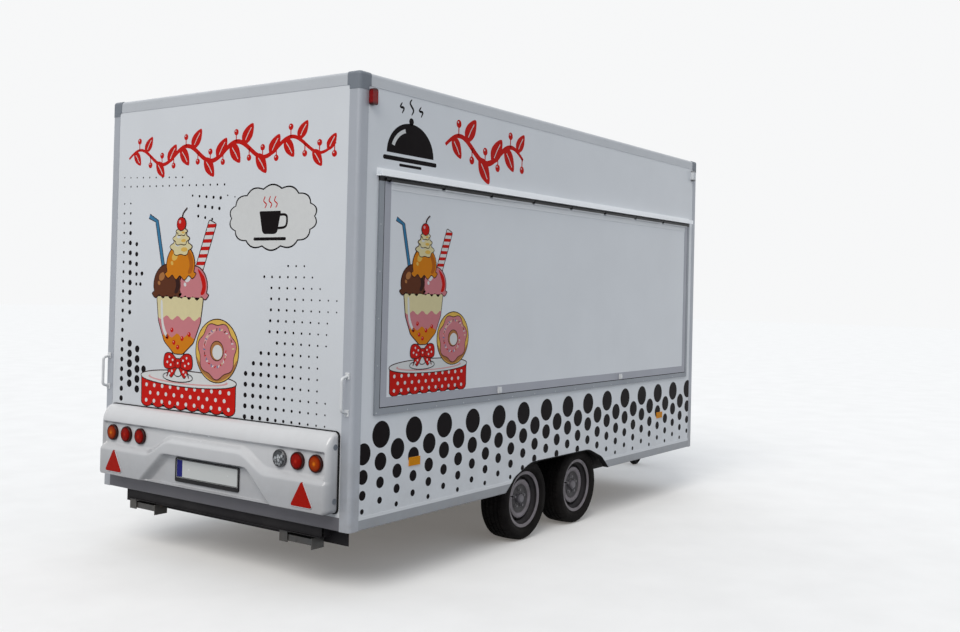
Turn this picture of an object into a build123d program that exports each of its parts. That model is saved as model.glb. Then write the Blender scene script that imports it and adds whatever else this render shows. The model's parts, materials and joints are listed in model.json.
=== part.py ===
"""Food trailer: a tandem-axle serving trailer with a side hatch, in millimetres.

+X is forward, towards the drawbar, +Y is the left side and +Z is up.
The origin lies on the ground under the middle of the whole trailer.
"""
import math
import os

from build123d import *

# Body
BOX_LENGTH = 4210.0
BOX_WIDTH = 2050.0
BOX_HEIGHT = 2370.0
SKIRT_Z = 355.0
WALL = 30.0
ROOF_THICKNESS = 30.0
FLOOR_THICKNESS = 40.0

# Aluminium edge profiles
PROFILE_FACE = 70.0
PROFILE_CORE = 50.0
PROFILE_LIP = 2.0
PROFILE_WEB = 3.0
POST_RADIUS = 22.0
ROOF_EDGE_RADIUS = 20.0
SILL_RADIUS = 8.0
CAP_SIZE = 86.0
CAP_HEIGHT = 92.0
CAP_PROUD = 2.0
CAP_RADIUS = 18.0

# Wheels and axles
AXLE_MID_FROM_REAR = 0.4988 * BOX_LENGTH
AXLE_SPACING = 670.0
WHEEL_RADIUS = 262.0
TYRE_WIDTH = 195.0
TYRE_WALL = 13.0
TRACK_HALF = BOX_WIDTH / 2 - 157.0
TYRE_SIDE_HEIGHT = 82.0
RIM_FLANGE_RADIUS = WHEEL_RADIUS - TYRE_SIDE_HEIGHT
RIM_BEAD_RADIUS = RIM_FLANGE_RADIUS - 15.0
RIM_HALF_WIDTH = 82.0
RIM_SHEET = 5.0
MOUNT_FACE_OFFSET = 30.0
STUB_RADIUS = 20.0
DRUM_RADIUS = 115.0
ARM_LENGTH = 150.0
ARM_THICKNESS = 28.0
AXLE_TUBE = 70.0
AXLE_TUBE_WALL = 6.0
RUNNING_GAP = 0.3
MOVING_GAP = 6.0

# Wheel arches
ARCH_FOOT_HALF = 664.0
ARCH_SHOULDER_HALF = 560.0
ARCH_SHOULDER_Z = 88.0
ARCH_TOP_HALF = 375.0
ARCH_TOP_Z = 158.0
ARCH_SHOULDER_RADIUS = 150.0
ARCH_TOP_RADIUS = 250.0
WHEEL_BOX_TOP = 2 * WHEEL_RADIUS - SKIRT_Z + 66.0
WHEEL_BOX_SHEET = 5.0
WHEEL_BOX_SIDE_GAP = 40.0

# Serving hatch on the right side
HATCH_REAR = 165.0
HATCH_FRONT = BOX_LENGTH - 146.0
HATCH_LOW = 588.0
HATCH_HIGH = BOX_HEIGHT - 527.0
HATCH_FLANGE = 23.0
HATCH_SLEEVE = 12.0
HATCH_PROUD = 10.0
HATCH_GAP = 5.0
HATCH_STOP = 12.0
HATCH_STOP_DEPTH = 14.0
HATCH_LEAF = 30.0
HATCH_BORDER = 50.0
HATCH_BORDER_SKIN = 2.0
HINGE_PIN_RADIUS = 4.0
HINGE_KNUCKLE_RADIUS = 7.0
HINGE_OUTSET = 7.5
HINGE_EDGE = 3.0
HINGE_PITCH = 480.0
HINGE_TAB = 30.0
CATCH_SHARES = (0.291, 0.704)
GUTTER_HEIGHT = 42.0
GUTTER_DEPTH = 38.0
GUTTER_SHEET = 3.0
GUTTER_LIP = 30.0
GUTTER_OVERHANG = 15.0

# Gas struts of the hatch
STRUT_BASE_DROP = 0.8 * (HATCH_HIGH - HATCH_LOW)
STRUT_BASE_IN = 100.0
STRUT_EYE_DROP = 0.2 * (HATCH_HIGH - HATCH_LOW)
STRUT_EYE_IN = 100.0
STRUT_TUBE_RADIUS = 11.0
STRUT_ROD_RADIUS = 4.0
STRUT_TUBE_LENGTH = 0.69 * (STRUT_BASE_DROP - STRUT_EYE_DROP)
STRUT_EYE_RADIUS = 10.0
STRUT_EYE_WIDTH = 10.0
STRUT_STUD_RADIUS = 4.0
STRUT_FROM_JAMB = 22.0

# Entry door on the left side
DOOR_WIDTH = 700.0
DOOR_FRONT = BOX_LENGTH - 710.0
DOOR_REAR = DOOR_FRONT - DOOR_WIDTH
DOOR_LOW = 110.0
DOOR_HIGH = BOX_HEIGHT - 390.0
DOOR_FLANGE = 25.0
DOOR_SLEEVE = 10.0
DOOR_GAP = 5.0
DOOR_LEAF = 30.0
DOOR_PROUD = 8.0
DOOR_STOP = 12.0
DOOR_STOP_DEPTH = 12.0
DOOR_HINGE_HEIGHT = 90.0
DOOR_HINGE_PLACES = (0.1, 0.5, 0.9)

# Rear bumper moulding
BUMPER_LOW = 90.0
BUMPER_HIGH = 508.0
BUMPER_HALF = BOX_WIDTH / 2 - 85.0
BUMPER_TOP_DEPTH = 28.0
BUMPER_STEP_DEPTH = 84.0
BUMPER_STEP_Z = 410.0
BUMPER_RECESS_DEPTH = 60.0
BUMPER_BULGE_DEPTH = 98.0
BUMPER_BULGE_Z = 260.0
BUMPER_CROWN_Z = 355.0
BUMPER_CROWN_HALF = 0.346 * BUMPER_HALF
BUMPER_WAIST_HALF = 0.54 * BUMPER_HALF
BUMPER_STRIP = 24.0
BUMPER_EDGE_RADIUS = 25.0
BUMPER_SKIN = 5.0
PLATE_WIDTH = 532.0
PLATE_HEIGHT = 136.0
PLATE_CENTRE_Z = 187.0
PLATE_THICKNESS = 8.0
PLATE_RECESS_LOW_HALF = 0.548 * BUMPER_HALF
PLATE_RECESS_HIGH_HALF = 0.367 * BUMPER_HALF
PLATE_RECESS_DEPTH = 44.0
LAMP_RADIUS = 47.5
LAMP_DEPTH = 24.0
LAMP_DOME = 8.0
LAMP_SHARES = (0.621, 0.76, 0.9)
LAMP_Z = 344.0
TRIANGLE_SIDE = 155.0
TRIANGLE_Y = BUMPER_HALF - 157.0
TRIANGLE_LOW_Z = 120.0
TRIANGLE_DEPTH = 7.0

# Chassis
RAIL_HEIGHT = 60.0
RAIL_WIDTH = 46.0
RAIL_WALL = 4.0
RAIL_HALF_SPAN = 520.0
RAIL_KINK_FROM_FRONT = 500.0
DRAWBAR_REACH = 1300.0
DRAWBAR_RAILS_REACH = 700.0
DRAWBAR_TIP_HALF = 70.0
FRAME_INSET = 32.0
FRAME_HALF = BOX_WIDTH / 2 - 220.0
CROSS_WIDTH = 40.0
REAR_BEAM_DEPTH = 55.0
REAR_BEAM_LIP = 10.0

# Coupling and jockey wheel
COUPLING_Z = 400.0
HOUSING_HALF = 45.0
HOUSING_BACK = 580.0
HOUSING_FRONT = 960.0
BELLOWS_FRONT = 1090.0
BELLOWS_FOLDS = 5
SHAFT_RADIUS = 25.0
BALL_RADIUS = 25.0
SOCKET_WALL = 6.0
JOCKEY_X_REACH = 860.0
JOCKEY_Y = -92.0
JOCKEY_OUTER_RADIUS = 30.0
JOCKEY_INNER_RADIUS = 24.0
JOCKEY_WHEEL_RADIUS = 100.0
JOCKEY_WHEEL_WIDTH = 60.0
JOCKEY_TRAIL = 35.0
JOCKEY_TOP_Z = 660.0
JOCKEY_TUBE_LOW_Z = 365.0

# Rear steadies
STEADY_LENGTH = 235.0
STEADY_TUBE = 34.0
STEADY_PIVOT_DROP = 38.0
STEADY_PIVOTS = (-520.0, FRAME_HALF - 35.0)
STEADY_PIN_RADIUS = 8.0

# Small fittings
HANDLE_LOW = 610.0
HANDLE_HIGH = 800.0
HANDLE_REACH = 45.0
HANDLE_RADIUS = 8.0
HANDLE_FROM_SIDE = 34.0
MARKER_X = 94.0
MARKER_Z = BOX_HEIGHT - 125.0
MARKER_HEIGHT = 86.0
MARKER_WIDTH = 42.0
MARKER_REACH = 25.0
REFLECTOR_PLACES = (519.0, BOX_LENGTH - 623.0)
REFLECTOR_Z = 310.0
REFLECTOR_SIZE = (94.0, 46.0, 6.0)

# Places worked out from the sizes above
REAR_X = (BUMPER_BULGE_DEPTH - BOX_LENGTH - DRAWBAR_REACH) / 2.0
FRONT_X = REAR_X + BOX_LENGTH
NOSE_X = FRONT_X + DRAWBAR_REACH
HALF_W = BOX_WIDTH / 2.0
ROOF_Z = SKIRT_Z + BOX_HEIGHT
PANEL_Y = HALF_W - PROFILE_LIP
INNER_Y = PANEL_Y - WALL
FLOOR_TOP_Z = SKIRT_Z + PROFILE_LIP + FLOOR_THICKNESS
RAIL_Z = SKIRT_Z - RAIL_HEIGHT
AXLE_MID_X = REAR_X + AXLE_MID_FROM_REAR
AXLES = {"rear": AXLE_MID_X - AXLE_SPACING / 2, "front": AXLE_MID_X + AXLE_SPACING / 2}
SIDES = {"left": 1, "right": -1}
WHEEL_BOX_Y = TRACK_HALF - TYRE_WIDTH / 2 - WHEEL_BOX_SIDE_GAP


def block(x0, x1, y0, y1, z0, z1):
    """A block between two corners."""
    return Pos((x0 + x1) / 2, (y0 + y1) / 2, (z0 + z1) / 2) * Box(x1 - x0, y1 - y0, z1 - z0)


def across(points, x0, x1, radii=None):
    """An outline of (y, z) points, extruded along X from x0 to x1."""
    return extrude(Plane.YZ.offset(x0) * outline(points, radii), amount=x1 - x0, dir=(1, 0, 0))


def along_side(points, y0, y1, radii=None):
    """An outline of (x, z) points, extruded along Y from y0 to y1."""
    return extrude(Plane.XZ.offset(-y0) * outline(points, radii), amount=y1 - y0, dir=(0, 1, 0))


def upward(points, z0, z1, radii=None):
    """An outline of (x, y) points, extruded along Z from z0 to z1."""
    return extrude(Plane.XY.offset(z0) * outline(points, radii), amount=z1 - z0, dir=(0, 0, 1))


def outline(points, radii=None):
    """A closed face, with one corner radius for each point where radii are given."""
    if radii is None:
        return Polygon(*points, align=None)
    return make_face(FilletPolyline(*points, radius=radii, close=True))


def rod(start, end, radius):
    """A round bar from one point to another."""
    start = Vector(*start)
    run = Vector(*end) - start
    return extrude(Plane(origin=start, z_dir=run) * Circle(radius), amount=run.length, dir=run)


def ring_of_revolution(points, y_centre, x, z):
    """A ring about an axis along Y, from (radius, y) points."""
    section = Plane.XY * Polygon(*points, align=None)
    return Pos(x, y_centre, z) * revolve(section, Axis.Y)


def mirrored(shape):
    """The same shape on the other side of the trailer."""
    return mirror(shape, about=Plane.XZ)


def both_sides(shape):
    """A shape and its mirror image as two solids."""
    return solids_of(shape, mirrored(shape))


def solids_of(*shapes):
    """One compound of the solids of all the shapes."""
    return Compound(children=[solid for shape in shapes for solid in shape.solids()])


def edge_profile(origin, u_dir, v_dir, length, radius, u_panel, v_panel):
    """An extruded corner profile that grips one panel running along u and one along v."""
    lip, core, face, web = PROFILE_LIP, PROFILE_CORE, PROFILE_FACE, PROFILE_WEB
    u_axis = Vector(*u_dir)
    plane = Plane(origin=origin, x_dir=u_axis, z_dir=u_axis.cross(Vector(*v_dir)))
    section = rounded_square(0, face, radius)
    section -= rectangle(core, face + 1, lip, lip + u_panel)
    section -= rectangle(lip, lip + v_panel, core, face + 1)
    section -= rectangle(2 * lip + v_panel, face + 1, 2 * lip + u_panel, face + 1)
    chamber = rounded_square(web, face, max(radius - web, 1.0))
    section -= chamber & rectangle(web, 2 * lip + v_panel - web, web, 2 * lip + u_panel - web)
    return extrude(plane * section, amount=length, dir=plane.z_dir)


def rectangle(u0, u1, v0, v1):
    return Polygon((u0, v0), (u1, v0), (u1, v1), (u0, v1), align=None)


def rounded_square(low, high, radius):
    """A square whose corner nearest the origin is rounded."""
    return outline([(low, low), (high, low), (high, high), (low, high)], [radius, 0, 0, 0])


def arch_prism(y0, y1):
    """The wheel arch cut-out, from below the skirt to its flat top."""
    below = 60.0
    half = [
        (ARCH_FOOT_HALF, -below, 0),
        (ARCH_FOOT_HALF, 0, 0),
        (ARCH_SHOULDER_HALF, ARCH_SHOULDER_Z, ARCH_SHOULDER_RADIUS),
        (ARCH_TOP_HALF, ARCH_TOP_Z, ARCH_TOP_RADIUS),
    ]
    whole = half + [(-x, z, radius) for x, z, radius in reversed(half)]
    points = [(AXLE_MID_X + x, SKIRT_Z + z) for x, z, _ in whole]
    return along_side(points, y0, y1, [radius for _, _, radius in whole])


def side_panel():
    """A side wall before its openings are cut, on the left."""
    wall = block(
        REAR_X + PROFILE_CORE, FRONT_X - PROFILE_CORE, INNER_Y, PANEL_Y,
        SKIRT_Z + PROFILE_CORE, ROOF_Z - PROFILE_CORE,
    )
    return wall - arch_prism(INNER_Y - 1, HALF_W + 1)


def end_panel(x_outer, inward):
    """The rear or front wall."""
    x_inner = x_outer + inward * WALL
    return block(
        min(x_outer, x_inner), max(x_outer, x_inner),
        PROFILE_CORE - HALF_W, HALF_W - PROFILE_CORE,
        SKIRT_Z + PROFILE_CORE, ROOF_Z - PROFILE_CORE,
    )


def left_wall():
    cut = PROFILE_LIP
    sleeve = DOOR_SLEEVE
    return side_panel() - block(
        REAR_X + DOOR_REAR - sleeve, REAR_X + DOOR_FRONT + sleeve, INNER_Y - cut, HALF_W + cut,
        SKIRT_Z + DOOR_LOW - sleeve, SKIRT_Z + DOOR_HIGH + sleeve,
    )


def right_wall():
    opening = hatch_rectangle(HATCH_FLANGE, 0)
    x0, x1, z0, z1 = opening
    return mirrored(side_panel()) - block(x0, x1, -HALF_W - 1, 1 - INNER_Y, z0, z1)


def roof_panel():
    return block(
        REAR_X + PROFILE_CORE, FRONT_X - PROFILE_CORE, PROFILE_CORE - HALF_W, HALF_W - PROFILE_CORE,
        ROOF_Z - PROFILE_LIP - ROOF_THICKNESS, ROOF_Z - PROFILE_LIP,
    )


def floor_panel():
    floor = block(
        REAR_X + PROFILE_CORE, FRONT_X - PROFILE_CORE, PROFILE_CORE - HALF_W, HALF_W - PROFILE_CORE,
        SKIRT_Z + PROFILE_LIP, FLOOR_TOP_Z,
    )
    half = ARCH_FOOT_HALF
    wheel_space = block(AXLE_MID_X - half, AXLE_MID_X + half, WHEEL_BOX_Y, HALF_W, SKIRT_Z, FLOOR_TOP_Z + 1)
    face = PROFILE_FACE
    floor += block(REAR_X + face, FRONT_X - face, face - HALF_W, HALF_W - face, SKIRT_Z, SKIRT_Z + PROFILE_LIP)
    return floor - wheel_space - mirrored(wheel_space)


def corner_posts():
    length = BOX_HEIGHT - CAP_HEIGHT
    posts = []
    for x, u in ((REAR_X, 1), (FRONT_X, -1)):
        for side in SIDES.values():
            corner = edge_profile(
                (0, 0, 0), (1, 0, 0), (0, 1, 0), length, POST_RADIUS, WALL, WALL,
            )
            if u < 0:
                corner = mirror(corner, about=Plane.YZ)
            if side > 0:
                corner = mirrored(corner)
            posts.append(Pos(x, side * HALF_W, SKIRT_Z) * corner)
    return solids_of(*posts)


def roof_edge_profiles():
    run_x = BOX_LENGTH - 2 * CAP_SIZE
    run_y = BOX_WIDTH - 2 * CAP_SIZE
    right = edge_profile(
        (REAR_X + CAP_SIZE, -HALF_W, ROOF_Z), (0, 1, 0), (0, 0, -1), -run_x,
        ROOF_EDGE_RADIUS, ROOF_THICKNESS, WALL,
    )
    rear = edge_profile(
        (REAR_X, CAP_SIZE - HALF_W, ROOF_Z), (1, 0, 0), (0, 0, -1), run_y,
        ROOF_EDGE_RADIUS, ROOF_THICKNESS, WALL,
    )
    front = edge_profile(
        (FRONT_X, CAP_SIZE - HALF_W, ROOF_Z), (-1, 0, 0), (0, 0, -1), -run_y,
        ROOF_EDGE_RADIUS, ROOF_THICKNESS, WALL,
    )
    return solids_of(right, mirrored(right), rear, front)


def sill_profiles():
    run_x = BOX_LENGTH - 2 * PROFILE_FACE
    run_y = BOX_WIDTH - 2 * PROFILE_FACE
    left = edge_profile(
        (REAR_X + PROFILE_FACE, HALF_W, SKIRT_Z), (0, -1, 0), (0, 0, 1), -run_x,
        SILL_RADIUS, FLOOR_THICKNESS, WALL,
    )
    left -= arch_prism(INNER_Y - PROFILE_FACE, HALF_W + 1)
    half = ARCH_FOOT_HALF
    left -= block(AXLE_MID_X - half, AXLE_MID_X + half, 0, INNER_Y, SKIRT_Z - 1, SKIRT_Z + PROFILE_FACE + 1)
    rear = edge_profile(
        (REAR_X, PROFILE_FACE - HALF_W, SKIRT_Z), (1, 0, 0), (0, 0, 1), -run_y,
        SILL_RADIUS, FLOOR_THICKNESS, WALL,
    )
    front = edge_profile(
        (FRONT_X, PROFILE_FACE - HALF_W, SKIRT_Z), (-1, 0, 0), (0, 0, 1), run_y,
        SILL_RADIUS, FLOOR_THICKNESS, WALL,
    )
    return solids_of(left, mirrored(left), rear, front)


def roof_corner_caps():
    """Moulded caps over the four upper corners, slotted for the panels."""
    size, high, proud, lip = CAP_SIZE, CAP_HEIGHT, CAP_PROUD, PROFILE_LIP
    # Local frame: outer corner at the origin, inward along +X and +Y, down along -Z
    plan = [(-proud, -proud), (size, -proud), (size, size), (-proud, size)]
    cap = upward(plan, -high, proud, [POST_RADIUS + proud, 0, 0, 0])
    cap = fillet(cap.faces().sort_by(Axis.Z)[-1].edges().filter_by(outer_edge), CAP_RADIUS)
    inner = lip + WALL
    cap -= block(inner + lip, size + 1, inner + lip, size + 1, -high - 1, -2 * lip - ROOF_THICKNESS)
    cap -= block(PROFILE_CORE, size + 1, PROFILE_CORE, size + 1, -lip - ROOF_THICKNESS, -lip)
    cap -= block(PROFILE_CORE, size + 1, lip, inner, -high - 1, -PROFILE_CORE)
    cap -= block(lip, inner, PROFILE_CORE, size + 1, -high - 1, -PROFILE_CORE)
    cap -= block(PROFILE_FACE, size + 1, -proud - 1, size + 1, -high - 1, -PROFILE_FACE)
    cap -= block(-proud - 1, size + 1, PROFILE_FACE, size + 1, -high - 1, -PROFILE_FACE)
    caps = []
    for x, turn in ((REAR_X, 1), (FRONT_X, -1)):
        for side in SIDES.values():
            corner = cap
            if turn < 0:
                corner = mirror(corner, about=Plane.YZ)
            if side > 0:
                corner = mirrored(corner)
            caps.append(Pos(x, side * HALF_W, ROOF_Z) * corner)
    return solids_of(*caps)


def outer_edge(edge):
    """True for the cap's top edges on its two outer faces and their corner."""
    middle = edge.center()
    return min(middle.X, middle.Y) < CAP_SIZE / 4


def wheel_boxes():
    half, top, sheet = ARCH_FOOT_HALF, WHEEL_BOX_TOP, WHEEL_BOX_SHEET
    slope = 90.0

    def shape(inset, y0, y1, z0):
        points = [
            (inset - half, z0), (half - inset, z0), (half - inset, top - slope),
            (half - slope, top - inset), (slope - half, top - inset), (inset - half, top - slope),
        ]
        return along_side([(AXLE_MID_X + x, SKIRT_Z + z) for x, z in points], y0, y1)

    left = shape(0, WHEEL_BOX_Y, INNER_Y, PROFILE_LIP)
    left -= shape(sheet, WHEEL_BOX_Y + sheet, INNER_Y + 1, 0)
    return both_sides(left)


def hatch_rectangle(inset, top_inset=None):
    """The hatch flange's rectangle drawn in by a width: x low, x high, z low, z high."""
    top_inset = inset if top_inset is None else top_inset
    return (
        REAR_X + HATCH_REAR + inset, REAR_X + HATCH_FRONT - inset,
        SKIRT_Z + HATCH_LOW + inset, SKIRT_Z + HATCH_HIGH - top_inset,
    )


# The hatch leaf and its hinge line
LEAF_X0, LEAF_X1, LEAF_Z0, LEAF_Z1 = hatch_rectangle(
    HATCH_FLANGE + HATCH_SLEEVE + HATCH_GAP, HATCH_SLEEVE + HATCH_GAP,
)
LEAF_OUT_Y = -(HALF_W + HATCH_PROUD)
LEAF_IN_Y = LEAF_OUT_Y + HATCH_LEAF
HATCH_AXIS_Y = LEAF_OUT_Y - HINGE_OUTSET
HATCH_AXIS_Z = LEAF_Z1 + HINGE_EDGE
STOP_Y = LEAF_IN_Y + RUNNING_GAP
STRUT_X = (LEAF_X0 + HATCH_STOP + STRUT_FROM_JAMB, LEAF_X1 - HATCH_STOP - STRUT_FROM_JAMB)
STRUT_BASE = (HATCH_AXIS_Y + STRUT_BASE_IN, HATCH_AXIS_Z - STRUT_BASE_DROP)
STRUT_EYE = (HATCH_AXIS_Y + STRUT_EYE_IN, HATCH_AXIS_Z - STRUT_EYE_DROP)


def ring(outer, inner, y0, y1):
    """A rectangular frame in the plane of the side wall."""
    x0, x1, z0, z1 = outer
    frame = block(x0, x1, y0, y1, z0, z1)
    x0, x1, z0, z1 = inner
    return frame - block(x0, x1, y0 - 1, y1 + 1, z0, z1)


def hinge_places():
    """Centres of the hinge tabs along the hatch."""
    count = round((LEAF_X1 - LEAF_X0) / HINGE_PITCH)
    pitch = (LEAF_X1 - LEAF_X0 - HINGE_TAB) / count
    return [LEAF_X0 + HINGE_TAB / 2 + pitch * index for index in range(count + 1)]


def hatch_frame():
    flange = hatch_rectangle(0, 0)
    cut = hatch_rectangle(HATCH_FLANGE, 0)
    sleeve = hatch_rectangle(HATCH_FLANGE + HATCH_SLEEVE, HATCH_SLEEVE)
    reach = HATCH_GAP + HATCH_STOP
    stop = hatch_rectangle(HATCH_FLANGE + HATCH_SLEEVE + reach, HATCH_SLEEVE + reach)
    frame = ring(flange, sleeve, LEAF_OUT_Y, -PANEL_Y)
    frame += ring(cut, sleeve, -PANEL_Y, STOP_Y + HATCH_STOP_DEPTH)
    frame += ring(cut, stop, STOP_Y, STOP_Y + HATCH_STOP_DEPTH)
    pin = rod(
        (LEAF_X0, HATCH_AXIS_Y, HATCH_AXIS_Z), (LEAF_X1, HATCH_AXIS_Y, HATCH_AXIS_Z), HINGE_PIN_RADIUS,
    )
    for x in hinge_places():
        half = HINGE_TAB / 2
        frame += block(
            x - half, x + half, HATCH_AXIS_Y - HINGE_PIN_RADIUS, HATCH_AXIS_Y + HINGE_PIN_RADIUS,
            HATCH_AXIS_Z - HINGE_PIN_RADIUS, HATCH_AXIS_Z + HINGE_KNUCKLE_RADIUS,
        )
        frame += block(
            x - half, x + half, HATCH_AXIS_Y, -PANEL_Y,
            HATCH_AXIS_Z + HINGE_PIN_RADIUS, HATCH_AXIS_Z + HINGE_KNUCKLE_RADIUS,
        )
    frame += pin
    base_y, base_z = STRUT_BASE
    for x, turn in zip(STRUT_X, (1, -1)):
        jamb = x - turn * STRUT_FROM_JAMB
        plate = 4.0
        frame += block(
            min(jamb, jamb + turn * plate), max(jamb, jamb + turn * plate),
            STOP_Y, base_y + 2 * STRUT_EYE_RADIUS, base_z - 20, base_z + 20,
        )
        frame += rod(
            (jamb, base_y, base_z), (x + turn * STRUT_EYE_WIDTH / 2, base_y, base_z), STRUT_STUD_RADIUS,
        )
    return frame


def serving_hatch():
    """The flat panel of the leaf, inside its border."""
    skin = HATCH_BORDER_SKIN
    return block(
        LEAF_X0 + skin, LEAF_X1 - skin, LEAF_OUT_Y + skin, LEAF_IN_Y - skin, LEAF_Z0 + skin, LEAF_Z1 - skin,
    )


def hatch_border():
    """The aluminium edge of the leaf, with hinge knuckles and the strut brackets."""
    skin, width = HATCH_BORDER_SKIN, HATCH_BORDER
    outer = (LEAF_X0, LEAF_X1, LEAF_Z0, LEAF_Z1)
    inner = (LEAF_X0 + width, LEAF_X1 - width, LEAF_Z0 + width, LEAF_Z1 - width)
    edge = (LEAF_X0 + skin, LEAF_X1 - skin, LEAF_Z0 + skin, LEAF_Z1 - skin)
    border = ring(outer, inner, LEAF_OUT_Y, LEAF_OUT_Y + skin)
    border += ring(outer, edge, LEAF_OUT_Y + skin, LEAF_IN_Y - skin)
    border += ring(outer, inner, LEAF_IN_Y - skin, LEAF_IN_Y)
    places = hinge_places()
    gap = 2.0
    for near, far in zip(places[:-1], places[1:]):
        x0 = near + HINGE_TAB / 2 + gap
        x1 = far - HINGE_TAB / 2 - gap
        border += rod(
            (x0, HATCH_AXIS_Y, HATCH_AXIS_Z), (x1, HATCH_AXIS_Y, HATCH_AXIS_Z), HINGE_KNUCKLE_RADIUS,
        )
        border += block(
            x0, x1, HATCH_AXIS_Y - HINGE_KNUCKLE_RADIUS, LEAF_OUT_Y,
            HATCH_AXIS_Z - HINGE_KNUCKLE_RADIUS - 12, HATCH_AXIS_Z - HINGE_PIN_RADIUS,
        )
    eye_y, eye_z = STRUT_EYE
    for x, turn in zip(STRUT_X, (1, -1)):
        border += block(x - 14, x + 14, LEAF_IN_Y, LEAF_IN_Y + 4, eye_z - 35, eye_z + 35)
        near, far = sorted((x + turn * (STRUT_EYE_WIDTH / 2 + 2), x + turn * (STRUT_EYE_WIDTH / 2 + 7)))
        border += block(near, far, LEAF_IN_Y, eye_y + 12, eye_z - 14, eye_z + 14)
    bore = HINGE_PIN_RADIUS + RUNNING_GAP
    border -= rod(
        (LEAF_X0 - 1, HATCH_AXIS_Y, HATCH_AXIS_Z), (LEAF_X1 + 1, HATCH_AXIS_Y, HATCH_AXIS_Z), bore,
    )
    return border


def hatch_catches():
    """Catches on the lower border that hold the leaf shut."""
    catches = []
    for share in CATCH_SHARES:
        x = LEAF_X0 + share * (LEAF_X1 - LEAF_X0)
        low = LEAF_Z0 + 3
        body = block(x - 14, x + 14, LEAF_OUT_Y - 12, LEAF_OUT_Y, low, low + 38)
        body += block(x - 9, x + 9, LEAF_OUT_Y - 18, LEAF_OUT_Y - 10, low + 6, low + 26)
        catches.append(body)
    return solids_of(*catches)


def rain_gutter():
    low = SKIRT_Z + HATCH_HIGH
    wall, sheet = PANEL_Y, GUTTER_SHEET
    front = wall + GUTTER_DEPTH
    section = [
        (-wall, low), (-wall, low + GUTTER_HEIGHT), (-wall - sheet, low + GUTTER_HEIGHT),
        (-wall - sheet, low + 2 * sheet), (sheet - front, low + sheet), (sheet - front, low + GUTTER_LIP),
        (-front, low + GUTTER_LIP), (-front, low),
    ]
    x0 = REAR_X + HATCH_REAR - GUTTER_OVERHANG
    x1 = REAR_X + HATCH_FRONT + GUTTER_OVERHANG
    return across(section, x0, x1)


def strut_cylinders():
    base_y, base_z = STRUT_BASE
    tubes = []
    for x in STRUT_X:
        tube = rod(
            (x, base_y, base_z + STRUT_EYE_RADIUS),
            (x, base_y, base_z + STRUT_TUBE_LENGTH), STRUT_TUBE_RADIUS,
        )
        eye = rod(
            (x - STRUT_EYE_WIDTH / 2, base_y, base_z),
            (x + STRUT_EYE_WIDTH / 2, base_y, base_z), STRUT_EYE_RADIUS,
        )
        bore = rod(
            (x - STRUT_EYE_WIDTH, base_y, base_z), (x + STRUT_EYE_WIDTH, base_y, base_z),
            STRUT_STUD_RADIUS + RUNNING_GAP,
        )
        neck = block(x - 4, x + 4, base_y - 6, base_y + 6, base_z, base_z + 2 * STRUT_EYE_RADIUS)
        barrel = rod(
            (x, base_y, base_z + 3 * STRUT_EYE_RADIUS), (x, base_y, base_z + STRUT_TUBE_LENGTH + 1),
            STRUT_ROD_RADIUS + 1,
        )
        tubes.append((tube + eye + neck) - bore - barrel)
    return solids_of(*tubes)


def strut_rods():
    base_y, base_z = STRUT_BASE
    eye_y, eye_z = STRUT_EYE
    rods = []
    for x in STRUT_X:
        bar = rod((x, base_y, base_z + 4 * STRUT_EYE_RADIUS), (x, eye_y, eye_z), STRUT_ROD_RADIUS)
        eye = rod(
            (x - STRUT_EYE_WIDTH / 2, eye_y, eye_z),
            (x + STRUT_EYE_WIDTH / 2, eye_y, eye_z), STRUT_EYE_RADIUS,
        )
        rods.append(bar + eye)
    return solids_of(*rods)


# The entry door and its hinge line
DOOR_X0 = REAR_X + DOOR_REAR + DOOR_GAP
DOOR_X1 = REAR_X + DOOR_FRONT - DOOR_GAP
DOOR_Z0 = SKIRT_Z + DOOR_LOW + DOOR_GAP
DOOR_Z1 = SKIRT_Z + DOOR_HIGH - DOOR_GAP
DOOR_OUT_Y = HALF_W + DOOR_PROUD
DOOR_IN_Y = DOOR_OUT_Y - DOOR_LEAF
DOOR_AXIS_X = DOOR_X1 + HINGE_EDGE
DOOR_AXIS_Y = DOOR_OUT_Y + HINGE_OUTSET


def door_rectangle(outset):
    """The door opening's rectangle grown by a width: x low, x high, z low, z high."""
    return (
        REAR_X + DOOR_REAR - outset, REAR_X + DOOR_FRONT + outset,
        SKIRT_Z + DOOR_LOW - outset, SKIRT_Z + DOOR_HIGH + outset,
    )


def door_hinge_heights():
    return [DOOR_Z0 + share * (DOOR_Z1 - DOOR_Z0) for share in DOOR_HINGE_PLACES]


def door_frame():
    opening = door_rectangle(0)
    sleeve = door_rectangle(DOOR_SLEEVE)
    stop = door_rectangle(-(DOOR_GAP + DOOR_STOP))
    flange = door_rectangle(DOOR_SLEEVE + DOOR_FLANGE)
    stop_y = DOOR_IN_Y - RUNNING_GAP
    frame = ring(flange, opening, PANEL_Y, DOOR_OUT_Y)
    frame += ring(sleeve, opening, stop_y - DOOR_STOP_DEPTH, PANEL_Y)
    frame += ring(sleeve, stop, stop_y - DOOR_STOP_DEPTH, stop_y)
    third = DOOR_HINGE_HEIGHT / 3
    for z in door_hinge_heights():
        for middle in (z - third, z + third):
            half = third / 2 - 0.5
            frame += rod(
                (DOOR_AXIS_X, DOOR_AXIS_Y, middle - half),
                (DOOR_AXIS_X, DOOR_AXIS_Y, middle + half), HINGE_KNUCKLE_RADIUS,
            )
            frame += block(
                DOOR_AXIS_X, DOOR_AXIS_X + 32, DOOR_OUT_Y, DOOR_OUT_Y + 4, middle - half, middle + half,
            )
        frame += rod(
            (DOOR_AXIS_X, DOOR_AXIS_Y, z - third), (DOOR_AXIS_X, DOOR_AXIS_Y, z + third), HINGE_PIN_RADIUS,
        )
    return frame


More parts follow.
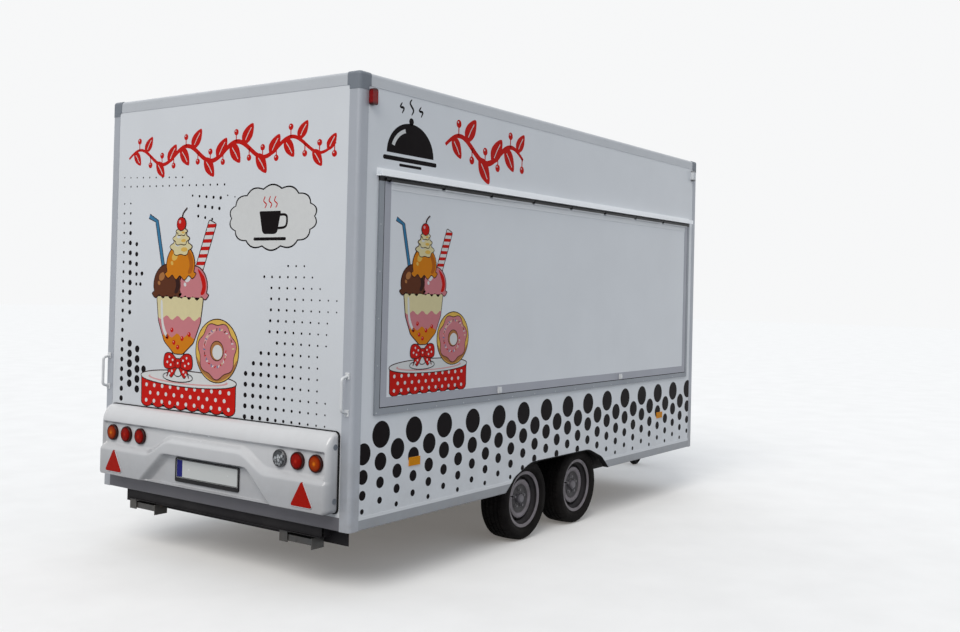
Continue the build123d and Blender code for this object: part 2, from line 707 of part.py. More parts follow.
def entry_door():
    return block(DOOR_X0, DOOR_X1, DOOR_IN_Y, DOOR_OUT_Y, DOOR_Z0, DOOR_Z1)


def door_hinges():
    """The moving hinge leaves, each with its middle knuckle."""
    third = DOOR_HINGE_HEIGHT / 3
    half = third / 2 - 0.5
    leaves = []
    for z in door_hinge_heights():
        knuckle = rod(
            (DOOR_AXIS_X, DOOR_AXIS_Y, z - half),
            (DOOR_AXIS_X, DOOR_AXIS_Y, z + half), HINGE_KNUCKLE_RADIUS,
        )
        strap = block(DOOR_AXIS_X - 60, DOOR_AXIS_X, DOOR_OUT_Y, DOOR_OUT_Y + 4, z - half, z + half)
        bore = rod(
            (DOOR_AXIS_X, DOOR_AXIS_Y, z - third), (DOOR_AXIS_X, DOOR_AXIS_Y, z + third),
            HINGE_PIN_RADIUS + RUNNING_GAP,
        )
        leaves.append(knuckle + strap - bore)
    return solids_of(*leaves)


def door_handle():
    x = DOOR_X0 + 70
    z = DOOR_Z0 + 900
    plate = block(x - 22, x + 22, DOOR_OUT_Y, DOOR_OUT_Y + 10, z - 80, z + 80)
    lever = block(x - 10, x + 110, DOOR_OUT_Y + 22, DOOR_OUT_Y + 34, z + 20, z + 42)
    neck = rod((x, DOOR_OUT_Y + 8, z + 31), (x, DOOR_OUT_Y + 30, z + 31), 10)
    return plate + lever + neck


def depth_x(depth):
    """The x of a surface that stands a depth out from the rear face."""
    return REAR_X - depth


def rear_bumper_panel():
    back = REAR_X + PROFILE_LIP
    half, low, high = BUMPER_HALF, SKIRT_Z + BUMPER_LOW, SKIRT_Z + BUMPER_HIGH
    step = SKIRT_Z + BUMPER_STEP_Z
    radius = BUMPER_EDGE_RADIUS
    corners = [(-half, low), (half, low), (half, high), (-half, high)]
    panel = across(corners, depth_x(BUMPER_RECESS_DEPTH), back, [radius] * 4)
    band = [
        (back, step - 12), (back, high), (depth_x(BUMPER_TOP_DEPTH), high),
        (depth_x(BUMPER_STEP_DEPTH), step), (depth_x(BUMPER_RECESS_DEPTH), step - 12),
    ]
    cover = across(corners, depth_x(BUMPER_BULGE_DEPTH), back, [radius] * 4)
    slope = along_side(
        [
            (depth_x(BUMPER_BULGE_DEPTH) - 1, step), (depth_x(BUMPER_BULGE_DEPTH) - 1, high + 1),
            (depth_x(BUMPER_TOP_DEPTH), high + 1), (depth_x(BUMPER_TOP_DEPTH), high),
            (depth_x(BUMPER_STEP_DEPTH), step),
        ],
        -half - 1, half + 1,
    )
    panel = panel - slope
    panel += cover & along_side(band, -half, half)
    waist = SKIRT_Z + BUMPER_BULGE_Z
    crown = SKIRT_Z + BUMPER_CROWN_Z
    wave = [
        (-half, low), (half, low), (half, waist), (BUMPER_WAIST_HALF, waist), (BUMPER_CROWN_HALF, crown),
        (-BUMPER_CROWN_HALF, crown), (-BUMPER_WAIST_HALF, waist), (-half, waist),
    ]
    bulge = across(wave, depth_x(BUMPER_BULGE_DEPTH), back, [radius, radius, 0, 60, 60, 60, 60, 0])
    panel += bulge
    for side in (-1, 1):
        inner = side * (half - BUMPER_STRIP)
        outer = side * half
        strip = block(
            depth_x(BUMPER_STEP_DEPTH), back, min(inner, outer), max(inner, outer), low, high,
        )
        panel += (strip & cover) - slope
    recess = [
        (-PLATE_RECESS_LOW_HALF, BUMPER_LOW + 12), (PLATE_RECESS_LOW_HALF, BUMPER_LOW + 12),
        (PLATE_RECESS_HIGH_HALF, BUMPER_BULGE_Z + 6), (-PLATE_RECESS_HIGH_HALF, BUMPER_BULGE_Z + 6),
    ]
    recess = [(y, SKIRT_Z + z) for y, z in recess]
    panel -= across(
        recess, depth_x(BUMPER_BULGE_DEPTH + 1), depth_x(BUMPER_BULGE_DEPTH - PLATE_RECESS_DEPTH), [20] * 4,
    )
    hollow_front = depth_x(BUMPER_BULGE_DEPTH - PLATE_RECESS_DEPTH - BUMPER_SKIN)
    skin = 4 * BUMPER_SKIN
    panel -= block(hollow_front, back + 1, skin - half, half - skin, low + skin, step - skin)
    return panel


def number_plate():
    """The plate holder, with a rim round its blank plate."""
    floor_x = depth_x(BUMPER_BULGE_DEPTH - PLATE_RECESS_DEPTH)
    low = SKIRT_Z + PLATE_CENTRE_Z - PLATE_HEIGHT / 2
    high = low + PLATE_HEIGHT
    half = PLATE_WIDTH / 2
    corners = [(-half, low), (half, low), (half, high), (-half, high)]
    plate = across(corners, floor_x - PLATE_THICKNESS, floor_x, [10] * 4)
    rim = 6.0
    field = [
        (-half + rim, low + 4 * rim), (half - rim, low + 4 * rim),
        (half - rim, high - rim), (rim - half, high - rim),
    ]
    return plate - across(field, floor_x - PLATE_THICKNESS - 1, floor_x - PLATE_THICKNESS / 2, [6] * 4)


def rear_lamps():
    """Six round lamps with domed lenses."""
    x = depth_x(BUMPER_RECESS_DEPTH)
    rim, step = LAMP_DEPTH - LAMP_DOME, 7.5
    lens = LAMP_RADIUS - step
    dome = (lens**2 + LAMP_DOME**2) / (2 * LAMP_DOME)
    lamp = rod((0, 0, 0), (-rim, 0, 0), LAMP_RADIUS)
    lamp += rod((0, 0, 0), (-LAMP_DEPTH, 0, 0), lens) & Pos(dome - LAMP_DEPTH, 0, 0) * Sphere(dome)
    lamps = []
    for side in SIDES.values():
        for share in LAMP_SHARES:
            lamps.append(Pos(x, side * share * BUMPER_HALF, SKIRT_Z + LAMP_Z) * lamp)
    return solids_of(*lamps)


def triangle_reflectors():
    x = depth_x(BUMPER_BULGE_DEPTH)
    low = SKIRT_Z + TRIANGLE_LOW_Z
    apex = low + TRIANGLE_SIDE * math.sqrt(3) / 2
    half = TRIANGLE_SIDE / 2
    corners = [(TRIANGLE_Y - half, low), (TRIANGLE_Y + half, low), (TRIANGLE_Y, apex)]
    return both_sides(across(corners, x - TRIANGLE_DEPTH, x, [8] * 3))


def grab_handles():
    """Bent bars on the rear faces of the rear posts."""
    y = HALF_W - HANDLE_FROM_SIDE
    low, high = SKIRT_Z + HANDLE_LOW, SKIRT_Z + HANDLE_HIGH
    seat, grip = REAR_X, REAR_X - HANDLE_REACH
    path = FilletPolyline(
        (seat, y, low), (grip, y, low + 12), (grip, y, high - 12), (seat, y, high), radius=18,
    )
    bar = sweep(Plane(origin=path @ 0, z_dir=path % 0) * Circle(HANDLE_RADIUS), path=path)
    for z in (low, high):
        bar += block(seat - 5, seat, y - 14, y + 14, z - 18, z + 18)
    bar -= block(seat, seat + 50, y - 40, y + 40, low - 60, high + 60)
    return both_sides(bar)


def marker_lamps():
    """Outline lamps near the upper corners: red at the rear, white at the front."""
    lamps = []
    for place in (MARKER_X, BOX_LENGTH - MARKER_X):
        x = REAR_X + place
        z = SKIRT_Z + MARKER_Z
        half_w, half_h = MARKER_WIDTH / 2, MARKER_HEIGHT / 2
        corners = [
            (x - half_w, z - half_h), (x + half_w, z - half_h),
            (x + half_w, z + half_h), (x - half_w, z + half_h),
        ]
        lamps.append(along_side(corners, PANEL_Y, HALF_W + MARKER_REACH, [12] * 4))
    return solids_of(*[both_sides(lamp) for lamp in lamps])


def side_reflectors():
    length, height, depth = REFLECTOR_SIZE
    tiles = []
    for place in REFLECTOR_PLACES:
        x, z = REAR_X + place, SKIRT_Z + REFLECTOR_Z
        tile = block(
            x - length / 2, x + length / 2, PANEL_Y, PANEL_Y + depth, z - height / 2, z + height / 2,
        )
        tiles.append(both_sides(tile))
    return solids_of(*tiles)


def band(path, width):
    """A strip of constant width along a path of (x, y) points, mitred at its corners."""
    left, right = [], []
    for index, (x, y) in enumerate(path):
        before = Vector(*path[max(index - 1, 0)])
        after = Vector(*path[min(index + 1, len(path) - 1)])
        here = Vector(x, y)
        arms = [arm.normalized() for arm in (here - before, after - here) if arm.length > 0]
        normals = [Vector(-arm.Y, arm.X) for arm in arms]
        mitre = sum(normals[1:], normals[0]).normalized()
        reach = width / 2 / mitre.dot(normals[0])
        left.append((here.X + mitre.X * reach, here.Y + mitre.Y * reach))
        right.append((here.X - mitre.X * reach, here.Y - mitre.Y * reach))
    return left + right[::-1]


def rail_path(stretch=0.0):
    return [
        (FRONT_X + DRAWBAR_RAILS_REACH + stretch, DRAWBAR_TIP_HALF),
        (FRONT_X - RAIL_KINK_FROM_FRONT, RAIL_HALF_SPAN),
        (REAR_X + FRAME_INSET + REAR_BEAM_DEPTH - stretch, RAIL_HALF_SPAN),
    ]


def rail_envelope():
    return upward(band(rail_path(), RAIL_WIDTH), RAIL_Z, SKIRT_Z)


def drawbar_rails():
    """Two box-section rails, parallel under the floor and drawn together at the drawbar."""
    inner = upward(
        band(rail_path(1.0), RAIL_WIDTH - 2 * RAIL_WALL), RAIL_Z + RAIL_WALL, SKIRT_Z - RAIL_WALL,
    )
    return both_sides(rail_envelope() - inner)


def channel(x0, x1, y0, y1):
    """A cross member: an open channel, its web at the front."""
    wall = RAIL_WALL
    beam = block(x0, x1, y0, y1, RAIL_Z, SKIRT_Z)
    return beam - block(x0 - 1, x1 - wall, y0 - 1, y1 + 1, RAIL_Z + wall, SKIRT_Z - wall)


def side_rail_spans():
    half = ARCH_FOOT_HALF
    return (
        (REAR_X + FRAME_INSET + REAR_BEAM_DEPTH, AXLE_MID_X - half - CROSS_WIDTH),
        (AXLE_MID_X + half + CROSS_WIDTH, FRONT_X - FRAME_INSET - CROSS_WIDTH),
    )


def side_rails():
    """Outer rails inboard of the side walls, broken at the wheels."""
    rails = []
    outer = FRAME_HALF
    for x0, x1 in side_rail_spans():
        rail = block(x0, x1, outer - CROSS_WIDTH, outer, RAIL_Z, SKIRT_Z)
        rail -= block(
            x0 - 1, x1 + 1, outer - CROSS_WIDTH - 1, outer - RAIL_WALL,
            RAIL_Z + RAIL_WALL, SKIRT_Z - RAIL_WALL,
        )
        rails.append(both_sides(rail))
    return solids_of(*rails)


def cross_members():
    """Channels between the rails and outriggers to the side rails."""
    outer = FRAME_HALF
    (_, arch_rear), (arch_front, front) = side_rail_spans()
    spans = (
        (arch_rear, outer), (arch_front - CROSS_WIDTH, outer), (front, outer),
        ((arch_rear + side_rail_spans()[0][0]) / 2, outer - CROSS_WIDTH),
        (FRONT_X - RAIL_KINK_FROM_FRONT - CROSS_WIDTH, outer - CROSS_WIDTH),
    )
    members = []
    rails = both_sides(rail_envelope())
    for x, half in spans:
        member = channel(x, x + CROSS_WIDTH, -half, half)
        members.append(member - rails)
    return solids_of(*members)


def rear_beam():
    """The rear cross beam, with a folded lower lip."""
    x0 = REAR_X + FRAME_INSET
    x1 = x0 + REAR_BEAM_DEPTH
    wall, lip = RAIL_WALL, REAR_BEAM_LIP
    section = [
        (x0, SKIRT_Z), (x1, SKIRT_Z), (x1, SKIRT_Z - wall), (x0 + wall, SKIRT_Z - wall),
        (x0 + wall, RAIL_Z + wall), (x1, RAIL_Z + wall), (x1, RAIL_Z), (x0 - lip, RAIL_Z),
        (x0 - lip, RAIL_Z + wall), (x0, RAIL_Z + wall),
    ]
    outer = FRAME_HALF
    return along_side(section, -outer, outer)


def axle_beams():
    """Square axle tubes bolted under the rails, ahead of the wheel centres."""
    beams = []
    for x in AXLES.values():
        x += ARM_LENGTH
        half, end = AXLE_TUBE / 2, beam_end_y()
        tube = block(x - half, x + half, -end, end, RAIL_Z - AXLE_TUBE, RAIL_Z)
        bore = half - AXLE_TUBE_WALL
        middle = RAIL_Z - half
        tube -= block(x - bore, x + bore, -end - 1, end + 1, middle - bore, middle + bore)
        beams.append(tube)
    return solids_of(*beams)


def beam_end_y():
    return TRACK_HALF - TYRE_WIDTH / 2 - MOVING_GAP * 8 - ARM_THICKNESS


def swing_arms():
    """Trailing arms with stub axles and brake back plates."""
    arms = []
    arm_y = beam_end_y()
    outer_y = arm_y + ARM_THICKNESS
    plate_y = hub_inner_y() - MOVING_GAP - 4
    middle_z = RAIL_Z - AXLE_TUBE / 2
    for x in AXLES.values():
        points = [(x + ARM_LENGTH, middle_z), (x, WHEEL_RADIUS)]
        arm = rod((points[0][0], arm_y, points[0][1]), (points[0][0], outer_y, points[0][1]), 42)
        arm += rod((x, arm_y, WHEEL_RADIUS), (x, outer_y, WHEEL_RADIUS), 34)
        arm += along_side(
            [
                (x, WHEEL_RADIUS - 34), (x + ARM_LENGTH, middle_z - 42),
                (x + ARM_LENGTH, middle_z + 42 - 9), (x, WHEEL_RADIUS + 33),
            ],
            arm_y, outer_y,
        )
        arm -= block(x - 200, x + 300, arm_y - 1, outer_y + 1, RAIL_Z, RAIL_Z + 60)
        arm += rod((x, outer_y - 1, WHEEL_RADIUS), (x, hub_bore_end_y() - 3, WHEEL_RADIUS), STUB_RADIUS)
        arm += rod((x, plate_y - 20, WHEEL_RADIUS), (x, plate_y, WHEEL_RADIUS), 50)
        arm += rod((x, plate_y, WHEEL_RADIUS), (x, plate_y + 4, WHEEL_RADIUS), DRUM_RADIUS - 3)
        arms.append(both_sides(arm))
    return solids_of(*arms)


def hub_inner_y():
    return TRACK_HALF - RIM_HALF_WIDTH + 4


def hub_bore_end_y():
    return TRACK_HALF + MOUNT_FACE_OFFSET - 10


def wheel_tyre(x, side):
    """A tyre: a hollow ring with rounded shoulders, open at its beads."""
    half, wall = TYRE_WIDTH / 2, TYRE_WALL
    bead = RIM_HALF_WIDTH - 6.5
    flange = RIM_FLANGE_RADIUS
    points = [
        (RIM_BEAD_RADIUS + 0.2, bead), (flange + 1, bead + 3), (flange + 5, bead + 8),
        (flange + 42, half), (WHEEL_RADIUS - 10, half - 15), (WHEEL_RADIUS, half - 40),
    ]
    inner = [
        (WHEEL_RADIUS - wall, half - 42), (flange + 36, half - wall + 3),
        (flange, bead - 6), (RIM_BEAD_RADIUS + 0.2, bead - 14),
    ]
    loop = points + [(r, -y) for r, y in reversed(points)]
    loop += [(r, -y) for r, y in reversed(inner)] + inner
    return ring_of_revolution(loop, side * TRACK_HALF, x, WHEEL_RADIUS)


def wheel_rim(x, side):
    """A pressed steel rim: a drop-centre barrel with a dished disc."""
    half, sheet, seat = RIM_HALF_WIDTH, RIM_SHEET, RIM_BEAD_RADIUS
    flange = RIM_FLANGE_RADIUS
    well = seat - 18
    outer = [
        (flange, half), (flange, half - 3), (seat, half - 6), (seat, half - 24), (well, half - 36),
        (well, 36 - half), (seat, 24 - half), (seat, 6 - half), (flange, 3 - half), (flange, -half),
    ]
    face = MOUNT_FACE_OFFSET
    well -= sheet
    inner = [
        (seat - sheet, -half), (seat - sheet, 24 - half), (well, 38 - half),
        (well, face - 6), (118, face + 18), (100, face + 16), (84, face), (34, face),
        (34, face + sheet), (81, face + sheet), (97, face + 22), (120, face + 24), (well, face),
        (well, half - 38), (seat - sheet, half - 22), (seat - sheet, half),
    ]
    loop = [(r, side * y) for r, y in outer + inner]
    return ring_of_revolution(loop, side * TRACK_HALF, x, WHEEL_RADIUS)


def wheel_hub(x, side):
    """Brake drum and hub in one, with its dust cap."""
    face = MOUNT_FACE_OFFSET
    inner = hub_inner_y() - TRACK_HALF
    bore = STUB_RADIUS + RUNNING_GAP
    end = hub_bore_end_y() - TRACK_HALF
    drum = DRUM_RADIUS
    points = [
        (bore, inner + 30), (bore, end), (0, end), (0, face + 34), (22, face + 34), (30, face + 24),
        (30, face), (78, face), (78, face - 14), (60, inner + 62), (drum, inner + 62), (drum, inner),
        (drum - 8, inner), (drum - 8, inner + 52), (48, inner + 52), (48, inner + 30),
    ]
    return ring_of_revolution([(r, side * y) for r, y in points], side * TRACK_HALF, x, WHEEL_RADIUS)


def coupling_x(reach):
    return FRONT_X + reach


def overrun_housing():
    """The cast housing on the rails' tips, with the tube the shaft runs in."""
    z, half = COUPLING_Z, HOUSING_HALF
    x0, x1 = coupling_x(HOUSING_BACK), coupling_x(HOUSING_FRONT)
    body = along_side(
        [(x0, z - half), (x1, z - half), (x1, z + half - 6), (x0 + 120, z + half), (x0, z + 10)],
        -half, half,
    )
    wing = DRAWBAR_TIP_HALF + RAIL_WIDTH
    tip = coupling_x(DRAWBAR_RAILS_REACH)
    body += block(x0, tip, -wing, wing, SKIRT_Z, SKIRT_Z + 10)
    body += rod((x1 - 1, 0, z), (x1 + 20, 0, z), SHAFT_RADIUS + 10)
    return body - rod((x0 + 60, 0, z), (x1 + 21, 0, z), SHAFT_RADIUS + RUNNING_GAP)


def coupling_bellows():
    """The pleated rubber boot between the housing and the coupling head."""
    x0, x1 = coupling_x(HOUSING_FRONT) + 20, coupling_x(BELLOWS_FRONT)
    fold = (x1 - x0) / BELLOWS_FOLDS
    points = [(x0, SHAFT_RADIUS + 1)]
    for index in range(BELLOWS_FOLDS):
        points.append((x0 + fold * index, SHAFT_RADIUS + 6))
        points.append((x0 + fold * (index + 0.5), SHAFT_RADIUS + 15))
    points.append((x1, SHAFT_RADIUS + 6))
    points.append((x1, SHAFT_RADIUS + 1))
    section = Polygon(*points, align=None)
    return Pos(0, 0, COUPLING_Z) * revolve(Plane.XY * section, Axis.X)


def coupling_head():
    """The ball coupling: a draw shaft, a pressed head and its hand lever."""
    z = COUPLING_Z
    ball_x = NOSE_X - BALL_RADIUS - SOCKET_WALL - 14
    outer = BALL_RADIUS + SOCKET_WALL
    neck_x = coupling_x(BELLOWS_FRONT)
    head = Pos(ball_x, 0, z) * Sphere(outer + 8)
    head += along_side(
        [(neck_x, z - 26), (ball_x, z - 26), (ball_x, z + 34), (neck_x + 40, z + 40), (neck_x, z + 32)],
        -outer - 2, outer + 2,
    )
    head += rod((ball_x, 0, z - 26), (ball_x, 0, z + 10), outer + 8)
    head -= block(ball_x - 80, NOSE_X + 1, -80, 80, z - 80, z - 26)
    head -= Pos(ball_x, 0, z) * Sphere(BALL_RADIUS + 0.4)
    head -= rod((ball_x, 0, z - 60), (ball_x, 0, z), BALL_RADIUS + 0.4)
    head += rod((coupling_x(HOUSING_BACK) + 120, 0, z), (neck_x + 1, 0, z), SHAFT_RADIUS)
    lever = along_side(
        [
            (neck_x + 20, z + 36), (neck_x + 60, z + 36), (neck_x + 110, z + 84),
            (neck_x + 10, z + 96), (neck_x - 10, z + 84),
        ],
        -16, 16,
    )
    return head + lever


def handbrake_lever():
    z = COUPLING_Z + HOUSING_HALF
    x0 = coupling_x(HOUSING_BACK) + 150
    y0 = HOUSING_HALF
    lever = rod((x0, y0, z - 20), (x0, y0 + 14, z - 20), 24)
    lever += along_side(
        [(x0 - 14, z - 20), (x0 + 14, z - 20), (x0 + 60, z + 250), (x0 + 36, z + 256)], y0 + 4, y0 + 12,
    )
    lever += rod((x0 + 42, y0 + 8, z + 210), (x0 + 70, y0 + 8, z + 350), 13)
    return lever


def jockey_x():
    return coupling_x(JOCKEY_X_REACH)


def jockey_clamp():
    """The clamp on the housing's side that grips the jockey tube."""
    x, y, outer = jockey_x(), JOCKEY_Y, JOCKEY_OUTER_RADIUS
    z0, z1 = COUPLING_Z - 30, COUPLING_Z + 30
    clamp = rod((x, y, z0), (x, y, z1), outer + 9)
    clamp += block(x - 34, x + 34, y, -HOUSING_HALF, z0, z1)
    clamp -= rod((x, y, z0 - 1), (x, y, z1 + 1), outer)
    clamp += rod((x - outer, y - 14, COUPLING_Z), (x - outer - 50, y - 44, COUPLING_Z), 6)
    return clamp - rod((x, y, z0 - 1), (x, y, z1 + 1), outer)


def jockey_outer_tube():
    x, y, outer, inner = jockey_x(), JOCKEY_Y, JOCKEY_OUTER_RADIUS, JOCKEY_INNER_RADIUS
    tube = rod((x, y, JOCKEY_TUBE_LOW_Z), (x, y, JOCKEY_TOP_Z), outer)
    return tube - rod((x, y, JOCKEY_TUBE_LOW_Z - 1), (x, y, JOCKEY_TOP_Z - 12), inner + RUNNING_GAP)


def jockey_crank():
    """The winding handle on top of the tube."""
    x, y, z = jockey_x(), JOCKEY_Y, JOCKEY_TOP_Z
    crank = rod((x, y, z), (x, y, z + 26), 12)
    crank += block(x - 150, x + 12, y - 10, y + 10, z + 18, z + 26)
    return crank + rod((x - 138, y, z + 20), (x - 138, y, z + 105), 13)


def jockey_inner_tube():
    x, y, inner = jockey_x(), JOCKEY_Y, JOCKEY_INNER_RADIUS
    low = crown_z() + 14
    tube = rod((x, y, low), (x, y, low + 260), inner)
    tube += rod((x, y, low), (x, y, low + 8), inner + 6)
    return tube - rod((x, y, low + 30), (x, y, low + 261), inner - 4)


def crown_z():
    """The fork crown's underside, just over the jockey wheel."""
    return 2 * JOCKEY_WHEEL_RADIUS + 8


def jockey_fork():
    """The caster fork, trailing behind the tube."""
    x, y = jockey_x(), JOCKEY_Y
    axle_x, radius = x - JOCKEY_TRAIL, JOCKEY_WHEEL_RADIUS
    gap = JOCKEY_WHEEL_WIDTH / 2 + MOVING_GAP
    crown = crown_z()
    fork = block(x - 60, x + 26, y - gap - 5, y + gap + 5, crown, crown + 6)
    for side in (-1, 1):
        cheek = [
            (x - 60, crown + 6), (x + 26, crown + 6), (axle_x + 18, radius - 14),
            (axle_x, radius - 20), (axle_x - 18, radius - 14),
        ]
        y0, y1 = sorted((y + side * gap, y + side * (gap + 5)))
        fork += along_side(cheek, y0, y1)
    fork += rod((x, y, crown + 5), (x, y, crown + 14 - RUNNING_GAP), 20)
    return fork + rod((axle_x, y - gap, radius), (axle_x, y + gap, radius), 8)


def jockey_wheel():
    """A solid rubber tyre on a moulded hub."""
    x, y = jockey_x() - JOCKEY_TRAIL, JOCKEY_Y
    radius, half = JOCKEY_WHEEL_RADIUS, JOCKEY_WHEEL_WIDTH / 2
    points = [
        (8 + RUNNING_GAP, -half), (22, -half), (24, 8 - half), (62, 8 - half),
        (66, 2 - half), (84, 2 - half), (96, 12 - half), (radius, 22 - half),
    ]
    loop = points + [(r, -y_local) for r, y_local in reversed(points)]
    return ring_of_revolution(loop, y, x, radius)


def steady_pivot_z():
    return RAIL_Z - STEADY_PIVOT_DROP


def steady_x():
    return REAR_X + FRAME_INSET + REAR_BEAM_DEPTH / 2


def steady_brackets():
    """Folded brackets under the rear beam, each with a pivot pin."""
    brackets = []
    x, z = steady_x(), steady_pivot_z()
    gap = STEADY_TUBE / 2 + 1
    for y in STEADY_PIVOTS:
        bracket = block(x - gap - 5, x + gap + 5, y - 30, y + 30, RAIL_Z - 5, RAIL_Z)
        for x0, x1 in ((x - gap - 5, x - gap), (x + gap, x + gap + 5)):
            bracket += block(x0, x1, y - 30, y + 30, z - 24, RAIL_Z)
        brackets.append(bracket + rod((x - gap, y, z), (x + gap, y, z), STEADY_PIN_RADIUS))
    return solids_of(*brackets)


def steady_leg(pivot_y):
    """A folding leg with a flat foot, stowed across the trailer."""
    x, z, half = steady_x(), steady_pivot_z(), STEADY_TUBE / 2
    foot = 6.0
    end = pivot_y - STEADY_LENGTH
    leg = block(x - half, x + half, end + foot, pivot_y, z - half, z + half)
    leg += rod((x - half, pivot_y, z), (x + half, pivot_y, z), half)
    leg += block(x - 45, x + 45, end, end + foot, z - 30, z + 30)
    return leg - rod(
        (x - half - 1, pivot_y, z), (x + half + 1, pivot_y, z), STEADY_PIN_RADIUS + RUNNING_GAP,
    )


def parts():
    """Every sub-part by name."""
    found = {
        "floor_panel": floor_panel(),
        "roof_panel": roof_panel(),
        "right_wall": right_wall(),
        "left_wall": left_wall(),
        "rear_wall": end_panel(REAR_X + PROFILE_LIP, 1),
        "front_wall": end_panel(FRONT_X - PROFILE_LIP, -1),
        "corner_posts": corner_posts(),
        "roof_edge_profiles": roof_edge_profiles(),
        "sill_profiles": sill_profiles(),
        "roof_corner_caps": roof_corner_caps(),
        "wheel_boxes": wheel_boxes(),
        "hatch_frame": hatch_frame(),
        "serving_hatch": serving_hatch(),
        "hatch_border": hatch_border(),
        "strut_cylinders": strut_cylinders(),
        "strut_rods": strut_rods(),
        "hatch_catches": hatch_catches(),
        "rain_gutter": rain_gutter(),
        "door_frame": door_frame(),
        "entry_door": entry_door(),
        "door_hinges": door_hinges(),
        "door_handle": door_handle(),
        "rear_bumper_panel": rear_bumper_panel(),
        "number_plate": number_plate(),
        "rear_lamps": rear_lamps(),
        "triangle_reflectors": triangle_reflectors(),
        "grab_handles": grab_handles(),
        "marker_lamps": marker_lamps(),
        "side_reflectors": side_reflectors(),
        "drawbar_rails": drawbar_rails(),
        "side_rails": side_rails(),
        "cross_members": cross_members(),
        "rear_beam": rear_beam(),
        "axle_beams": axle_beams(),
        "swing_arms": swing_arms(),
        "overrun_housing": overrun_housing(),
        "coupling_bellows": coupling_bellows(),
        "coupling_head": coupling_head(),
        "handbrake_lever": handbrake_lever(),
        "jockey_clamp": jockey_clamp(),
        "jockey_outer_tube": jockey_outer_tube(),
        "jockey_crank": jockey_crank(),
        "jockey_inner_tube": jockey_inner_tube(),
        "jockey_fork": jockey_fork(),
        "jockey_wheel": jockey_wheel(),
        "steady_brackets": steady_brackets(),
        "right_steady_leg": steady_leg(STEADY_PIVOTS[0]),
        "left_steady_leg": steady_leg(STEADY_PIVOTS[1]),
    }
    for place, x in AXLES.items():
        for name, side in SIDES.items():
            found[f"{place}_{name}_tyre"] = wheel_tyre(x, side)
            found[f"{place}_{name}_rim"] = wheel_rim(x, side)
            found[f"{place}_{name}_hub"] = wheel_hub(x, side)
    return found


if __name__ == "__main__":
    os.makedirs("parts", exist_ok=True)
    for node, shape in parts().items():
        export_step(shape, os.path.join("parts", node + ".step"))
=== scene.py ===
"""Looks for the food trailer: finishes, trim, printed decoration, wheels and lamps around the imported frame.

Metres: +X forward, +Y left, +Z up, the ground at z = 0.
"""
import json
import math
import random

import bmesh
import bpy
from mathutils import Matrix, Vector
from mathutils.geometry import tessellate_polygon


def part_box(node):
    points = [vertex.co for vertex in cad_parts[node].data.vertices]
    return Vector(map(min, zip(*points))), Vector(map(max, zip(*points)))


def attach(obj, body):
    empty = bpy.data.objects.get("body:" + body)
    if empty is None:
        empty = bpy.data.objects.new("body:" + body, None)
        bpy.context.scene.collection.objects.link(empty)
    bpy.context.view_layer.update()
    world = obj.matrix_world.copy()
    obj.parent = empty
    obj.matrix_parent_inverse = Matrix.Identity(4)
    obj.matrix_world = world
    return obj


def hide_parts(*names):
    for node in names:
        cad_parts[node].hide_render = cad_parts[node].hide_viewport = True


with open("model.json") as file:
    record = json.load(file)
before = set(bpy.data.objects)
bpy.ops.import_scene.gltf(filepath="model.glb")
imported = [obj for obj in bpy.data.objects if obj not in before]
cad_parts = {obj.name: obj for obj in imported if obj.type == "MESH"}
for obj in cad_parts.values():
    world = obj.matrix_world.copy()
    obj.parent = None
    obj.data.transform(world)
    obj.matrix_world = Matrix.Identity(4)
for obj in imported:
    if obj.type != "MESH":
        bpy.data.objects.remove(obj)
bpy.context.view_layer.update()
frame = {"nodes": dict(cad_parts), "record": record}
nodes = frame["nodes"]
SLOT_OF = {row["node"]: row["material_slot"] for row in frame["record"]["subparts"]}

# Places taken from the frame
posts_low, posts_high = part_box("corner_posts")
REAR_X, FRONT_X = posts_low.x, posts_high.x
HALF_W, SKIRT_Z = posts_high.y, posts_low.z
PANEL_Y = -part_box("right_wall")[0].y
HINGE_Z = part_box("rain_gutter")[0].z - 0.014
BODY = "trailer_body"
SIDES = {"left": 1, "right": -1}


# Finishes

PANEL_TONE = (0.735, 0.755, 0.785)
ROAD_DUST, ALLOY_DUST = (0.24, 0.22, 0.20), (0.20, 0.185, 0.17)
# A painted shadow: the dark line under the rain gutter, over the hinge's knuckles
HINGE_PAINTED_SHADOW = (0.010, 0.010, 0.012)
# How die lines stretch on a profile that runs along X, upright, or along X and Y
ALONG_X, UPRIGHT, LEVEL = (0.6, 12, 12), (12, 12, 0.6), (0.6, 0.6, 12)


def scaled(tone, factor):
    return tuple(channel * factor for channel in tone)


class Nodes:
    """A node tree. A socket is given a number, a colour or another node's output."""

    def __init__(self, tree):
        self.tree = tree

    def put(self, value, socket):
        if isinstance(value, bpy.types.NodeSocket):
            self.tree.links.new(value, socket)
        else:
            socket.default_value = (*value, 1.0) if socket.type == "RGBA" else value

    def add(self, kind, sockets, out=0, **settings):
        """A new node; gives the output that is asked for."""
        node = self.tree.nodes.new("ShaderNode" + kind)
        for key, value in settings.items():
            setattr(node, key, value)
        for key, value in sockets.items():
            self.put(value, node.inputs[key])
        return node.outputs[out]

    def math(self, operation, a, b=0.0):
        return self.add("Math", {0: a, 1: b}, operation=operation)

    def times(self, product, *factors):
        for factor in factors:
            product = self.math("MULTIPLY", product, factor)
        return product

    def shown(self):
        """1 for what the camera sees straight, mirrored or through glass, and 0 for light on the object."""
        rays = self.add("LightPath", {}).node.outputs
        seen = self.math("MAXIMUM", rays["Is Camera Ray"], rays["Is Glossy Ray"])
        return self.math("MAXIMUM", seen, rays["Is Transmission Ray"])


